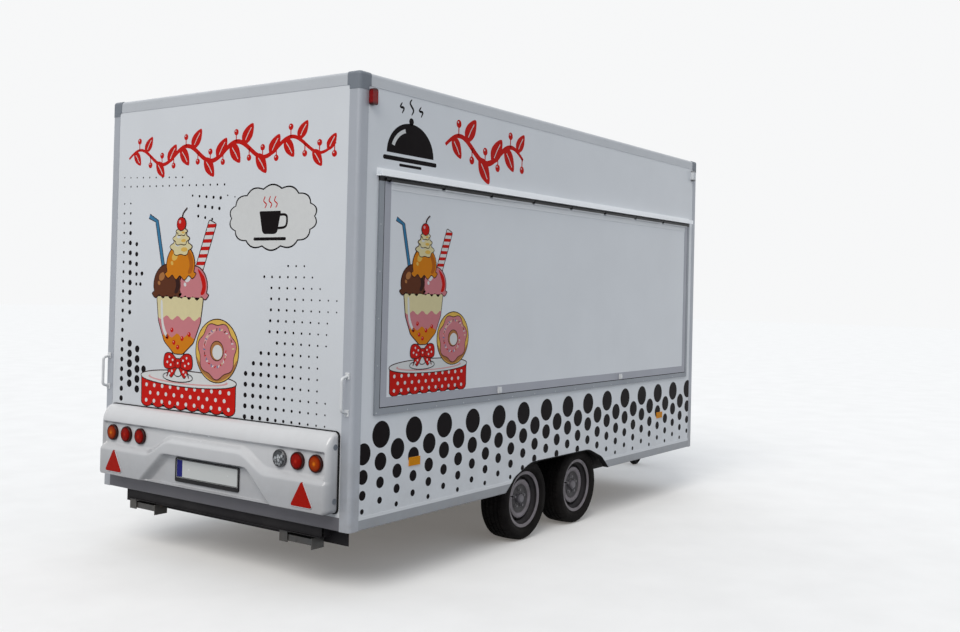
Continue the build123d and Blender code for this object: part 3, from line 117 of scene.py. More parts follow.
class Finish(Nodes):
    """A principled material with procedural layers over one tone."""

    def __init__(self, name, tone, rough=(0.3, 0.4), metallic=0.0, coat=0.0, specular=0.5, coat_rough=0.08):
        self.material = bpy.data.materials.new(name)
        self.material.use_nodes = True
        super().__init__(self.material.node_tree)
        self.shader = self.tree.nodes["Principled BSDF"]
        for key, value in (("Metallic", metallic), ("Coat Weight", coat), ("Coat Roughness", coat_rough),
                           ("Specular IOR Level", specular)):
            self.put(value, self.shader.inputs[key])
        self.coords = self.add("TexCoord", {}, "Object")
        self.normal = None
        self.color = self.mix(self.ramp(self.noise(2.3), 0.3, 0.7), tone, scaled(tone, 0.955))
        self.roughness = self.ramp(self.noise(7.0), 0.25, 0.75, *rough)

    def place(self, stretch):
        return self.add("Mapping", {"Vector": self.coords, "Scale": stretch})

    def noise(self, scale, stretch=(1, 1, 1), detail=3.0, roughness=0.55):
        return self.add("TexNoise", {"Scale": scale, "Detail": detail, "Roughness": roughness,
                                     "Vector": self.place(stretch)}, "Fac")

    def cells(self, scale, stretch=(1, 1, 1), output="Distance"):
        return self.add("TexVoronoi", {"Scale": scale, "Vector": self.place(stretch)}, output)

    def axis(self, name, vector=None):
        return self.add("SeparateXYZ", {0: vector or self.coords}, name)

    def ramp(self, value, low, high, to_low=0.0, to_high=1.0):
        return self.add("MapRange", {"Value": value, "From Min": low, "From Max": high,
                                     "To Min": to_low, "To Max": to_high}, "Result")

    def mix(self, factor, a, b):
        return self.add("Mix", {0: factor, 6: a, 7: b}, 2, data_type="RGBA")

    def tint(self, factor, tone):
        self.color = self.mix(factor, self.color, tone)

    def wash(self, value, low, high, tone, amount=1.0):
        """A tone where the value runs from low to high."""
        self.tint(self.ramp(value, low, high, 0.0, amount), tone)

    def grain(self, scale, distance, strength, detail=1.0):
        self.bump(self.noise(scale, detail=detail), distance, strength)

    def bump(self, height, distance, strength):
        sockets = {"Strength": strength, "Distance": distance, "Height": height}
        if self.normal:
            sockets["Normal"] = self.normal
        self.normal = self.add("Bump", sockets)

    def road_dirt(self, top, bottom, amount, tone=ROAD_DUST):
        """Dust that thickens towards the ground, broken up by noise."""
        height = self.ramp(self.axis("Z"), top, bottom)
        patches = self.ramp(self.noise(5.0, detail=6.0, roughness=0.7), 0.32, 0.72)
        self.tint(self.times(height, patches, amount), tone)

    def streaks(self, amount, tone, stretch):
        """Faint runs down an upright face."""
        self.wash(self.noise(3.0, stretch, detail=1.5), 0.45, 0.8, tone, amount)

    def done(self):
        self.put(self.color, self.shader.inputs["Base Color"])
        self.put(self.roughness, self.shader.inputs["Roughness"])
        if self.normal:
            self.put(self.normal, self.shader.inputs["Normal"])
        return self.material


def panel_finish(name, tone, fade=0.0):
    """Coated sandwich panel: slight waves, runs and dust near the bottom; fade paints shade on its lower
    half.
    """
    look = Finish(name, tone, (0.30, 0.36), coat=0.2, coat_rough=0.2)
    look.streaks(0.05, scaled(tone, 0.85), (2, 2, 0.12))
    look.road_dirt(1.0, 0.35, 0.30)
    if fade:
        # Painted shade over the lower half
        look.wash(look.axis("Z"), 1.75, 0.85, scaled(tone, 0.72), fade)
    look.grain(1.7, 0.004, 0.25)
    return look.done()


def anodised(name, tone, bright, stretch=ALONG_X, metallic=0.3, grain=0.4):
    """What every profile starts with: satin aluminium with faint die lines along its length."""
    look = Finish(name, tone, (0.34, 0.48), metallic, specular=0.4)
    lines = look.noise(46.0, stretch, detail=4.0)
    look.wash(lines, 0.35, 0.75, bright, 0.16)
    look.bump(lines, 0.00018, grain)
    return look


def extrusion_finish(name, stretch, tone=(0.43, 0.455, 0.49), dirt=0.35):
    look = anodised(name, tone, scaled(tone, 1.2), stretch, 0.35, 0.5)
    look.wash(look.noise(13.0, detail=7.0, roughness=0.75), 0.56, 0.8, scaled(tone, 0.72), 0.25)
    look.road_dirt(0.9, 0.3, dirt, ALLOY_DUST)
    return look.done()


def hinge_finish(name, tone, bright, metallic, ends, bands):
    """A profile at the hatch's hinge: bands in the wall's tone within the leaf's ends, darkened as painted
    shade, and a painted shadow where the knuckles show.
    """
    look = anodised(name, tone, bright, metallic=metallic)
    height, along = look.axis("Z"), look.axis("X")
    low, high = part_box("hatch_border")
    within = look.times(look.ramp(along, low.x + ends[0], low.x + ends[1]),
                        look.ramp(along, high.x - ends[0], high.x - ends[1]))
    for start, full, shade in bands:
        band = look.ramp(height, HINGE_Z - start, HINGE_Z - full)
        look.tint(look.times(band, within), scaled(PANEL_TONE, shade))
    # The painted shadow under the gutter
    look.wash(height, HINGE_Z - 0.012, HINGE_Z - 0.011, HINGE_PAINTED_SHADOW)
    return look.done()


def sill_finish():
    """The sill: a bare lower face and an upper part in the wall's tone, both darkened as painted shade, and
    painted shade on its rear face.
    """
    # The bare tone is darkened as painted shade near the ground
    look = anodised("anodised_sill_painted_shade", (0.305, 0.32, 0.345), (0.42, 0.44, 0.47), LEVEL)
    look.road_dirt(0.6, 0.3, 0.35, ALLOY_DUST)
    outside = look.ramp(look.math("ABSOLUTE", look.axis("Y")), PANEL_Y - 0.002, PANEL_Y - 0.001)
    painted = look.ramp(look.axis("Z"), SKIRT_Z + 0.0535, SKIRT_Z + 0.0545)
    # The wall's tone here is a darker copy, as painted shade
    look.tint(look.times(painted, outside), scaled(PANEL_TONE, 0.84))
    # Painted shade on the rear face
    look.wash(look.axis("X"), REAR_X + 0.009, REAR_X + 0.007, (0.075, 0.070, 0.082), 0.85)
    return look.done()


def galvanised_finish(name="galvanised", painted_shade_scale=1.0):
    """Spangled zinc under road film, with a little rust; a scale below 1 darkens it all as painted shade."""
    look = Finish(name, scaled((0.33, 0.335, 0.34), painted_shade_scale), (0.38, 0.62), 0.75)
    spangle = look.axis("X", look.cells(46.0, (1.0, 1.3, 0.8), "Color"))
    look.wash(spangle, 0.0, 1.0, scaled((0.50, 0.51, 0.52), painted_shade_scale), 0.55)
    look.road_dirt(0.75, 0.1, 0.75, (0.13, 0.115, 0.10))
    look.wash(look.noise(21.0, detail=8.0), 0.64, 0.74, (0.28, 0.16, 0.09), 0.4)
    look.grain(160.0, 0.0002, 0.6, 3.0)
    return look.done()


def rim_finish():
    # The base tone is darkened as painted shade for the wheel's place under the body; the washes are dust and
    # rust
    look = Finish("rim_silver", (0.205, 0.187, 0.207), (0.34, 0.52), 0.45, specular=0.35)
    look.wash(look.noise(11.0, detail=8.0, roughness=0.72), 0.38, 0.7, (0.07, 0.06, 0.055), 0.6)
    look.wash(look.noise(90.0, detail=6.0), 0.66, 0.74, (0.20, 0.09, 0.045), 0.8)
    look.grain(240.0, 0.0001, 0.5, 3.0)
    return look.done()


def rubber_finish(name, tone, dusty):
    look = Finish(name, tone, (0.66, 0.85), specular=0.09)
    look.wash(look.noise(9.0, detail=8.0, roughness=0.7), 0.4, 0.8, (0.055, 0.05, 0.045), dusty)
    look.grain(420.0, 0.00018, 0.7, 4.0)
    return look.done()


def moulded_finish(name, tone, rough=(0.4, 0.55), coat=0.0, dirt=0.3, specular=0.4):
    """Moulded plastic or powder coat with a fine grain."""
    look = Finish(name, tone, rough, coat=coat, specular=specular)
    look.road_dirt(0.95, 0.3, dirt)
    look.grain(520.0, 0.00015, 0.5, 2.0)
    return look.done()


def bumper_finish():
    look = Finish("bumper_white", (0.61, 0.61, 0.62), (0.18, 0.28), coat=0.4)
    look.streaks(0.07, (0.40, 0.39, 0.38), (7, 7, 0.3))
    # Painted shade over the lower part of the bumper
    look.wash(look.axis("Z"), 0.76, 0.50, (0.36, 0.365, 0.385), 0.8)
    look.road_dirt(0.72, 0.42, 0.35)
    look.grain(3.1, 0.003, 0.3)
    look.grain(260.0, 0.0001, 0.4)
    return look.done()


def lens_finish(name, tone, painted_glow, metallic=0.0):
    """A moulded lens: a painted glow at its heart, painted shade at its rim and fine prism rings round its
    own centre.
    """
    look = Finish(name, tone, (0.1, 0.18), metallic, coat=0.03, coat_rough=0.04, specular=0.03)
    radius = look.add("VectorMath", {0: look.place((0, 1, 1))}, "Value", operation="LENGTH")
    # A painted glow in the lens's heart
    look.wash(radius, 0.036, 0.018, painted_glow, 0.12)
    look.wash(radius, 0.014, 0.004, painted_glow, 0.7)
    # Painted shade at the rim
    look.wash(radius, 0.031, 0.042, scaled(tone, 0.16), 0.85)
    look.bump(look.math("SINE", look.times(radius, 2100.0)), 0.0006, 0.8)
    facets = look.cells(58.0 if metallic else 300.0)
    # On the metal-backed lens the dark facets are a painted reflection
    if metallic:
        look.wash(facets, 0.35, 0.6, (0.03, 0.032, 0.035), 0.85)
    look.bump(facets, 0.001 if metallic else 0.0005, 0.7)
    return look.done()


def reflector_finish(name, tone, depth):
    """A reflector: honeycomb prisms behind a glossy face."""
    look = Finish(name, tone, (0.3, 0.42), specular=0.06)
    cells = look.cells(210.0, (1.0, 1.0, 1.15))
    look.wash(cells, 0.15, 0.6, scaled(tone, 0.45), depth)
    look.bump(cells, 0.0008, depth)
    return look.done()


def marker_finish():
    """Outline lamps: red at the rear, clear at the front, with painted shade at their top and bottom."""
    look = Finish("marker_lens", (0.28, 0.004, 0.005), (0.2, 0.3), coat=0.2, specular=0.12)
    look.wash(look.noise(40.0), 0.4, 0.7, (0.17, 0.006, 0.006), 0.4)
    look.wash(look.axis("X"), -0.5, -0.4, (0.66, 0.68, 0.70))
    low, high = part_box("marker_lamps")
    tall, height = high.z - low.z, look.axis("Z")
    off_middle = look.math("ABSOLUTE", look.math("SUBTRACT", height, (low.z + high.z) / 2))
    # Painted shade at the lens's top and bottom
    look.wash(off_middle, tall * 0.28, tall * 0.46, (0.02, 0.012, 0.012), 0.85)
    look.bump(look.math("SINE", look.times(height, 1500.0)), 0.0006, 0.6)
    return look.done()


def floor_top_finish():
    """Coated plywood with a fine anti-slip print."""
    look = Finish("floor_top", (0.19, 0.17, 0.15), (0.4, 0.6))
    look.wash(look.noise(6.0, (1, 14, 1)), 0.35, 0.7, (0.25, 0.22, 0.19), 0.4)
    look.bump(look.cells(190.0, (1, 1, 0.01)), 0.0006, 0.8)
    return look.done()


def vinyl_finish(name, tone):
    """Printed film: a slightly uneven ink under a semi-gloss laminate."""
    look = Finish(name, tone, (0.38, 0.5), specular=0.04)
    look.wash(look.noise(30.0, detail=5.0), 0.4, 0.75, tuple(0.88 * c + 0.004 for c in tone), 0.35)
    look.grain(300.0, 0.0001, 0.5)
    return look.done()


BY_SLOT = {
    "white_panel": panel_finish("white_panel", PANEL_TONE),
    "anodised": extrusion_finish("anodised_along", ALONG_X),
    "corner_plastic": moulded_finish("corner_plastic", (0.185, 0.205, 0.235)),
    "bumper_white": bumper_finish(),
    "plate_holder": moulded_finish("plate_holder", (0.007, 0.007, 0.009), (0.5, 0.65), dirt=0.08,
                                   specular=0.15),
    "lamp_lens": marker_finish(),
    "reflector_red": reflector_finish("reflector_red", (0.44, 0.009, 0.003), 0.45),
    "reflector_amber": reflector_finish("reflector_amber", (0.80, 0.30, 0.006), 0.35),
    "white_fitting": moulded_finish("white_fitting", (0.68, 0.69, 0.70), (0.28, 0.4), 0.3),
    "galvanised": galvanised_finish(),
    "rim_silver": rim_finish(),
    # Darkened as painted shade for the hub's place under the body
    "hub_steel": moulded_finish("hub_steel", (0.175, 0.162, 0.180), (0.35, 0.5)),
    "tyre": rubber_finish("tyre", (0.006, 0.005, 0.005), 0.22),
    "rubber": rubber_finish("rubber", (0.010, 0.010, 0.011), 0.15),
    "black_steel": moulded_finish("black_steel", (0.03, 0.03, 0.033), (0.35, 0.5), 0.2),
    "floor_top": floor_top_finish(),
}
STEEL = moulded_finish("dark_steel", (0.011, 0.010, 0.012), (0.55, 0.7), dirt=0.06, specular=0.15)
STEADIES = ("right_steady_leg", "left_steady_leg", "steady_brackets")
BY_NODE = {
    # One anodised alloy throughout: the roof edge's lighter tone is painted light; the posts darken towards
    # the bottom
    "corner_posts": extrusion_finish("anodised_upright", UPRIGHT, (0.40, 0.42, 0.46), dirt=0.7),
    "roof_edge_profiles": extrusion_finish("anodised_roof_painted_light", LEVEL, (0.50, 0.52, 0.55)),
    "sill_profiles": sill_finish(),
    # The rear panel carries painted shade over its lower half
    "rear_wall": panel_finish("rear_panel_painted_shade", scaled(PANEL_TONE, 0.96), 0.5),
    # The 0.62 bands are painted shade over the knuckles
    "hatch_frame": hinge_finish("hatch_frame", (0.25, 0.27, 0.30), (0.30, 0.32, 0.36), 0.35,
                                (-0.001, 0.0), [(0.030, 0.029, 0.62)]),
    "hatch_border": hinge_finish("hatch_border", (0.33, 0.34, 0.385), (0.40, 0.41, 0.46), 0.3,
                                 (0.049, 0.050), [(0.062, 0.060, 0.86), (0.020, 0.018, 0.62)]),
    # The gutter's near-white tone is painted light
    "rain_gutter": extrusion_finish("anodised_gutter_painted_light", ALONG_X, (0.91, 0.93, 0.955)),
    "rear_beam": STEEL, "side_rails": STEEL,
    # The steadies' zinc is darkened as painted shade under the trailer
    **dict.fromkeys(STEADIES, galvanised_finish("galvanised_painted_shade", 0.16)),
    "wheel_boxes": moulded_finish("wheel_box", (0.03, 0.03, 0.032), (0.6, 0.75), dirt=0.7),
}
for name, node in nodes.items():
    node.data.materials.clear()
    node.data.materials.append(BY_NODE.get(name, BY_SLOT[SLOT_OF[name]]))


def bevel_edges(target, width, angle=35):
    """Small rounded edges catch the light as the real ones do."""
    bevel = target.modifiers.new("edges", "BEVEL")
    bevel.width, bevel.segments, bevel.limit_method = width, 2, "ANGLE"
    bevel.angle_limit = math.radians(angle)


for width, names in {
    0.001: "hatch_border grab_handles door_hinges jockey_fork triangle_reflectors steady_brackets",
    0.0012: "hatch_frame rain_gutter door_frame side_reflectors",
    0.0015: "hatch_catches door_handle rear_beam cross_members side_rails jockey_crank jockey_clamp "
            "right_steady_leg left_steady_leg",
    0.002: "entry_door coupling_head handbrake_lever marker_lamps",
    0.003: "roof_corner_caps drawbar_rails wheel_boxes",
    0.004: "axle_beams overrun_housing",
}.items():
    for name in names.split():
        bevel_edges(nodes[name], width)


# Mesh helpers

def turns(steps):
    return [2 * math.pi * step / steps for step in range(steps)]


class Build:
    """Collects vertices and faces of several closed forms for one piece."""

    def __init__(self):
        self.vertices, self.faces, self.materials = [], [], []

    def add(self, vertices, faces, material=0):
        start = len(self.vertices)
        self.vertices += [Vector(v) for v in vertices]
        self.faces += [tuple(start + i for i in face) for face in faces]
        self.materials += [material] * len(faces)

    def loft(self, rings, material=0, closed=False):
        """A skin over closed rings of one length: capped at both ends, or joined end to end."""
        size, count = len(rings[0]), len(rings)
        faces = []
        for row in range(count if closed else count - 1):
            here, there = row * size, (row + 1) % count * size
            for j in range(size):
                k = (j + 1) % size
                faces.append((here + j, here + k, there + k, there + j))
        if not closed:
            faces += [tuple(range(size)), tuple(range((count - 1) * size, count * size))]
        self.add([point for ring in rings for point in ring], faces, material)

    def lathe(self, profile, centre, axis, steps, material=0, closed=False):
        """A turned form from (radius, along) points."""
        axis, centre = Vector(axis).normalized(), Vector(centre)
        side = axis.orthogonal().normalized()
        other = axis.cross(side)
        spokes = [side * math.cos(turn) + other * math.sin(turn) for turn in turns(steps)]
        rings = [[centre + axis * along + spoke * radius for spoke in spokes] for radius, along in profile]
        self.loft(rings, material, closed)

    def prism(self, outline, lift, depth, frame_of, material=0):
        """A closed slab of a flat outline. frame_of turns (u, v, height) into a point."""
        count = len(outline)
        cap = tessellate_polygon([[Vector((u, v, 0)) for u, v in outline]])
        faces = [tuple(t) for t in cap] + [tuple(count + i for i in reversed(t)) for t in cap]
        faces += [(i, (i + 1) % count, count + (i + 1) % count, count + i) for i in range(count)]
        self.add([frame_of(u, v, h) for h in (lift + depth, lift) for u, v in outline], faces, material)

    def box(self, low, high):
        (x0, y0, z0), (x1, y1, z1) = low, high
        self.loft([[(x0, y0, z), (x1, y0, z), (x1, y1, z), (x0, y1, z)] for z in (z0, z1)])

    def made(self, name, material, body=BODY, slot=None, smooth=32.0):
        """The piece, riding on its body. material may be a list, picked per face."""
        mesh = bpy.data.meshes.new(name)
        mesh.from_pydata([tuple(v) for v in self.vertices], [], self.faces)
        for each in material if isinstance(material, list) else [material]:
            mesh.materials.append(each)
        mesh.polygons.foreach_set("material_index", self.materials)
        work = bmesh.new()
        work.from_mesh(mesh)
        bmesh.ops.recalc_face_normals(work, faces=work.faces)
        work.to_mesh(mesh)
        work.free()
        mesh.shade_smooth()
        mesh.set_sharp_from_angle(angle=math.radians(smooth))
        made = bpy.data.objects.new(name, mesh)
        bpy.context.scene.collection.objects.link(made)
        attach(made, body)
        return made

    def trim(self, name, slot, smooth=32.0):
        """A piece on the body in the finish of its slot."""
        return self.made(name, BY_SLOT[slot], slot=slot, smooth=smooth)


def rounded(points, radii, steps):
    """A closed outline with its corners rounded."""
    outline = []
    for index, (point, radius) in enumerate(zip(points, radii)):
        here = Vector(point)
        if radius <= 0:
            outline.append(tuple(here))
            continue
        before = (Vector(points[index - 1]) - here).normalized()
        after = (Vector(points[(index + 1) % len(points)]) - here).normalized()
        half = before.angle(after) / 2
        reach = radius / math.tan(half)
        centre = here + (before + after).normalized() * radius / math.sin(half)
        start, end = here + before * reach - centre, here + after * reach - centre
        turn = -start.angle_signed(end)
        spins = [Matrix.Rotation(turn * step / steps, 2) for step in range(steps + 1)]
        outline += [tuple(centre + spin @ start) for spin in spins]
    return outline


def rectangle(u0, v0, u1, v1, radius=0.0, steps=6):
    return rounded([(u0, v0), (u1, v0), (u1, v1), (u0, v1)], [radius] * 4, steps)


def disc(u, v, radius, steps, tall=1.0, reach=lambda turn: 1.0):
    """A circle or an ellipse; reach varies its radius with the turn."""
    spokes = [(radius * reach(turn), turn) for turn in turns(steps)]
    return [(u + r * math.cos(turn), v + tall * r * math.sin(turn)) for r, turn in spokes]


def clip(polygon, a, b):
    """The part of a convex polygon to the left of the line a to b."""
    def side(p):
        return (b[0] - a[0]) * (p[1] - a[1]) - (b[1] - a[1]) * (p[0] - a[0])
    kept = []
    for before, point in zip(polygon[-1:] + polygon[:-1], polygon):
        here, last = side(point), side(before)
        if (here >= 0) != (last >= 0):
            share = last / (last - here)
            kept.append(tuple(p + (q - p) * share for p, q in zip(before, point)))
        if here >= 0:
            kept.append(point)
    return kept if len(kept) > 2 else []


def area(polygon):
    return 0.5 * sum(p[0] * q[1] - q[0] * p[1] for p, q in zip(polygon[-1:] + polygon[:-1], polygon))


def anticlockwise(outline):
    return outline if area(outline) > 0 else outline[::-1]


def inside_of(polygon, window):
    """A convex polygon cut to a convex window that runs anticlockwise."""
    for index in range(len(window)):
        if polygon:
            polygon = clip(polygon, window[index - 1], window[index])
    return polygon


def outside_of(polygons, hole):
    """Convex polygons with a convex anticlockwise hole taken out, as convex pieces."""
    left = []
    for rest in polygons:
        for index in range(len(hole)):
            if not rest:
                break
            outer = clip(rest, hole[index], hole[index - 1])
            if outer and abs(area(outer)) > 1e-7:
                left.append(outer)
            rest = clip(rest, hole[index - 1], hole[index])
    return left


def on_side(side, lift):
    """Points on a side: u along X, v up, height away from the wall."""
    return lambda u, v, h: Vector((u, side * (lift + h), v))


def on_rear(x):
    """Points on the rear: u along Y, v up, height away from the wall."""
    return lambda u, v, h: Vector((x - h, u, v))


def outward(edge):
    """The direction to the right of an edge."""
    return Vector((edge.y, -edge.x)).normalized()


# Wheel arches

AXLE_X = {
    place: sum(corner.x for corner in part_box(f"{place}_left_tyre")) / 2 for place in ("rear", "front")
}
ARCH_X = sum(AXLE_X.values()) / 2


def arch_outline(grow, steps=10):
    """The arch opening's edge from its rear foot to its front foot, grown outward."""
    foot, shoulder, crest = Vector((0.664, 0.0)), Vector((0.560, 0.088)), Vector((0.375, 0.158))
    lower, upper = outward(shoulder - foot), outward(crest - shoulder)
    shoulder += (lower + upper).normalized() * grow / math.cos(lower.angle(upper) / 2)
    crest += Vector((upper.x, upper.y + 1)).normalized() * grow
    half = [(foot.x + grow / lower.x, 0.0, 0.0), (*shoulder, 0.15 + grow), (*crest, 0.25 + grow)]
    whole = [(-u, v, r) for u, v, r in half] + half[::-1]
    return rounded([(ARCH_X + u, SKIRT_Z + v) for u, v, _ in whole], [r for _, _, r in whole], steps)


def arch_trim(name, side):
    """A narrow edge strip round the arch with a flange under the wall's edge."""
    face, base, deep = (side * (PANEL_Y + lift) for lift in (0.0022, 0.0004, -0.034))
    build = Build()
    build.loft([
        [(e, face, f), (c, face, d), (c, base, d), (a, base, b), (a, deep, b), (e, deep, f)]
        for (a, b), (c, d), (e, f) in zip(arch_outline(0.0), arch_outline(0.0045), arch_outline(-0.0025))
    ])
    bevel_edges(build.trim(name, "rubber", 25), 0.0006, 30)


for name, side in SIDES.items():
    arch_trim(f"{name}_arch_trim", side)


# Printed decoration

INK = {
    "black": (0.006, 0.004, 0.005), "line": (0.035, 0.012, 0.010), "red": (0.56, 0.012, 0.008),
    "orange": (0.66, 0.215, 0.012), "pink": (0.60, 0.215, 0.235), "brown": (0.115, 0.035, 0.016),
    "tan": (0.42, 0.175, 0.06), "cream": (0.72, 0.63, 0.36), "yellow": (0.74, 0.46, 0.10),
    "pale": (0.70, 0.70, 0.69), "rose": (0.70, 0.36, 0.36), "deep_red": (0.26, 0.008, 0.008),
    "blue": (0.05, 0.20, 0.36), "amber": (0.45, 0.12, 0.01),
}
INK_NAMES = sorted(INK)
INKS = [vinyl_finish("ink_" + name, INK[name]) for name in INK_NAMES]
FILM, FILM_GAP = 0.00012, 0.0001


class Print(Build):
    """Flat printed shapes, each on the film level that it is given."""

    def __init__(self, frame_of, scale=1.0, origin=(0.0, 0.0), flip=1):
        super().__init__()
        self.frame_of, self.scale, self.origin, self.flip = frame_of, scale, origin, flip

    def shape(self, outline, ink, level=1):
        points = [(self.origin[0] + self.flip * self.scale * u, self.origin[1] + self.scale * v)
                  for u, v in outline]
        self.prism(anticlockwise(points), FILM_GAP, FILM * level, self.frame_of, INK_NAMES.index(ink))

    def dot(self, u, v, radius, steps, ink="black", level=1, tall=1.0):
        self.shape(disc(u, v, radius, steps, tall), ink, level)

    def inked(self, outline, ink, level, line=0.006):
        """A shape with a dark line round it."""
        self.shape(swollen(outline, line), "line", level)
        self.shape(outline, ink, level + 1)

    def stroke(self, path, width, ink, level):
        self.shape(ribbon(path, width), ink, level)


def swollen(outline, width):
    """An outline moved outward by a width along its normals."""
    sign = 1 if area(outline) > 0 else -1
    grown = []
    for index, point in enumerate(outline):
        here, after = Vector(point), Vector(outline[(index + 1) % len(outline)])
        edges = (here - Vector(outline[index - 1]), after - here)
        if min(edge.length for edge in edges) < 1e-9:
            continue
        first, second = (outward(edge) * sign for edge in edges)
        if (first + second).length > 1e-6:
            mitre = (first + second).normalized()
            grown.append(tuple(here + mitre * width / max(mitre.dot(first), 0.5)))
    return grown


def ribbon(path, width):
    """A line along a path: width is a number or a function of the share along it."""
    left, right = [], []
    last = len(path) - 1
    for index, point in enumerate(path):
        along = Vector(path[min(index + 1, last)]) - Vector(path[max(index - 1, 0)])
        reach = outward(along) * (width(index / last) if callable(width) else width) / 2
        left.append(tuple(Vector(point) - reach))
        right.append(tuple(Vector(point) + reach))
    return left + right[::-1]


def smooth(points, steps, closed=True):
    """A Catmull-Rom curve through the points."""
    curve = []
    count = len(points)
    for index in range(count if closed else count - 1):
        around = [(index + k) % count if closed else min(max(index + k, 0), count - 1) for k in (-1, 0, 1, 2)]
        p = [Vector(points[i]) for i in around]
        for t in (step / steps for step in range(steps)):
            curve.append(tuple(0.5 * (
                2 * p[1] + (p[2] - p[0]) * t + (2 * p[0] - 5 * p[1] + 4 * p[2] - p[3]) * t * t
                + (3 * p[1] - p[0] - 3 * p[2] + p[3]) * t ** 3
            )))
    return curve if closed else curve + [tuple(points[-1])]


def turned(outline, angle, centre):
    spin, pivot = Matrix.Rotation(angle, 2), Vector(centre)
    return [tuple(pivot + spin @ (Vector(p) - pivot)) for p in outline]


def placed(outline, u, v, scale_u=1.0, scale_v=None):
    scale_v = scale_u if scale_v is None else scale_v
    return [(u + scale_u * x, v + scale_v * y) for x, y in outline]


def arc(start, stop, steps, wide=1.0, tall=1.0):
    """Points on an ellipse from one angle to another, in degrees."""
    angles = [math.radians(start + (stop - start) * step / steps) for step in range(steps + 1)]
    return [(wide * math.cos(a), tall * math.sin(a)) for a in angles]


def scoop(sheet, u, v, radius, ink, shade, light, level):
    """A ball of ice cream with a ragged skirt, a shaded side and light patches."""
    skirt = [(-1.10, -0.42), (-0.86, -0.60), (-0.58, -0.44), (-0.30, -0.66), (-0.02, -0.47),
             (0.30, -0.68), (0.60, -0.46), (0.88, -0.60), (1.10, -0.40)]
    sheet.inked(placed(smooth(arc(-18, 198, 18) + skirt, 3), u, v, radius), ink, level)
    shaded = [(0.30, 0.88), (0.78, 0.50), (0.93, 0.02), (0.80, -0.34), (0.55, -0.36), (0.66, 0.02),
              (0.52, 0.42)]
    sheet.shape(placed(smooth(shaded, 5), u, v, radius), shade, level + 2)
    for x, y, size, tall in ((-0.42, 0.42, 0.24, 0.75), (-0.62, 0.10, 0.09, 1.2), (-0.05, 0.66, 0.08, 0.6)):
        patch = turned(disc(x, y, size, 20, tall), 0.7, (x, y))
        sheet.shape(placed(patch, u, v, radius), light, level + 2)


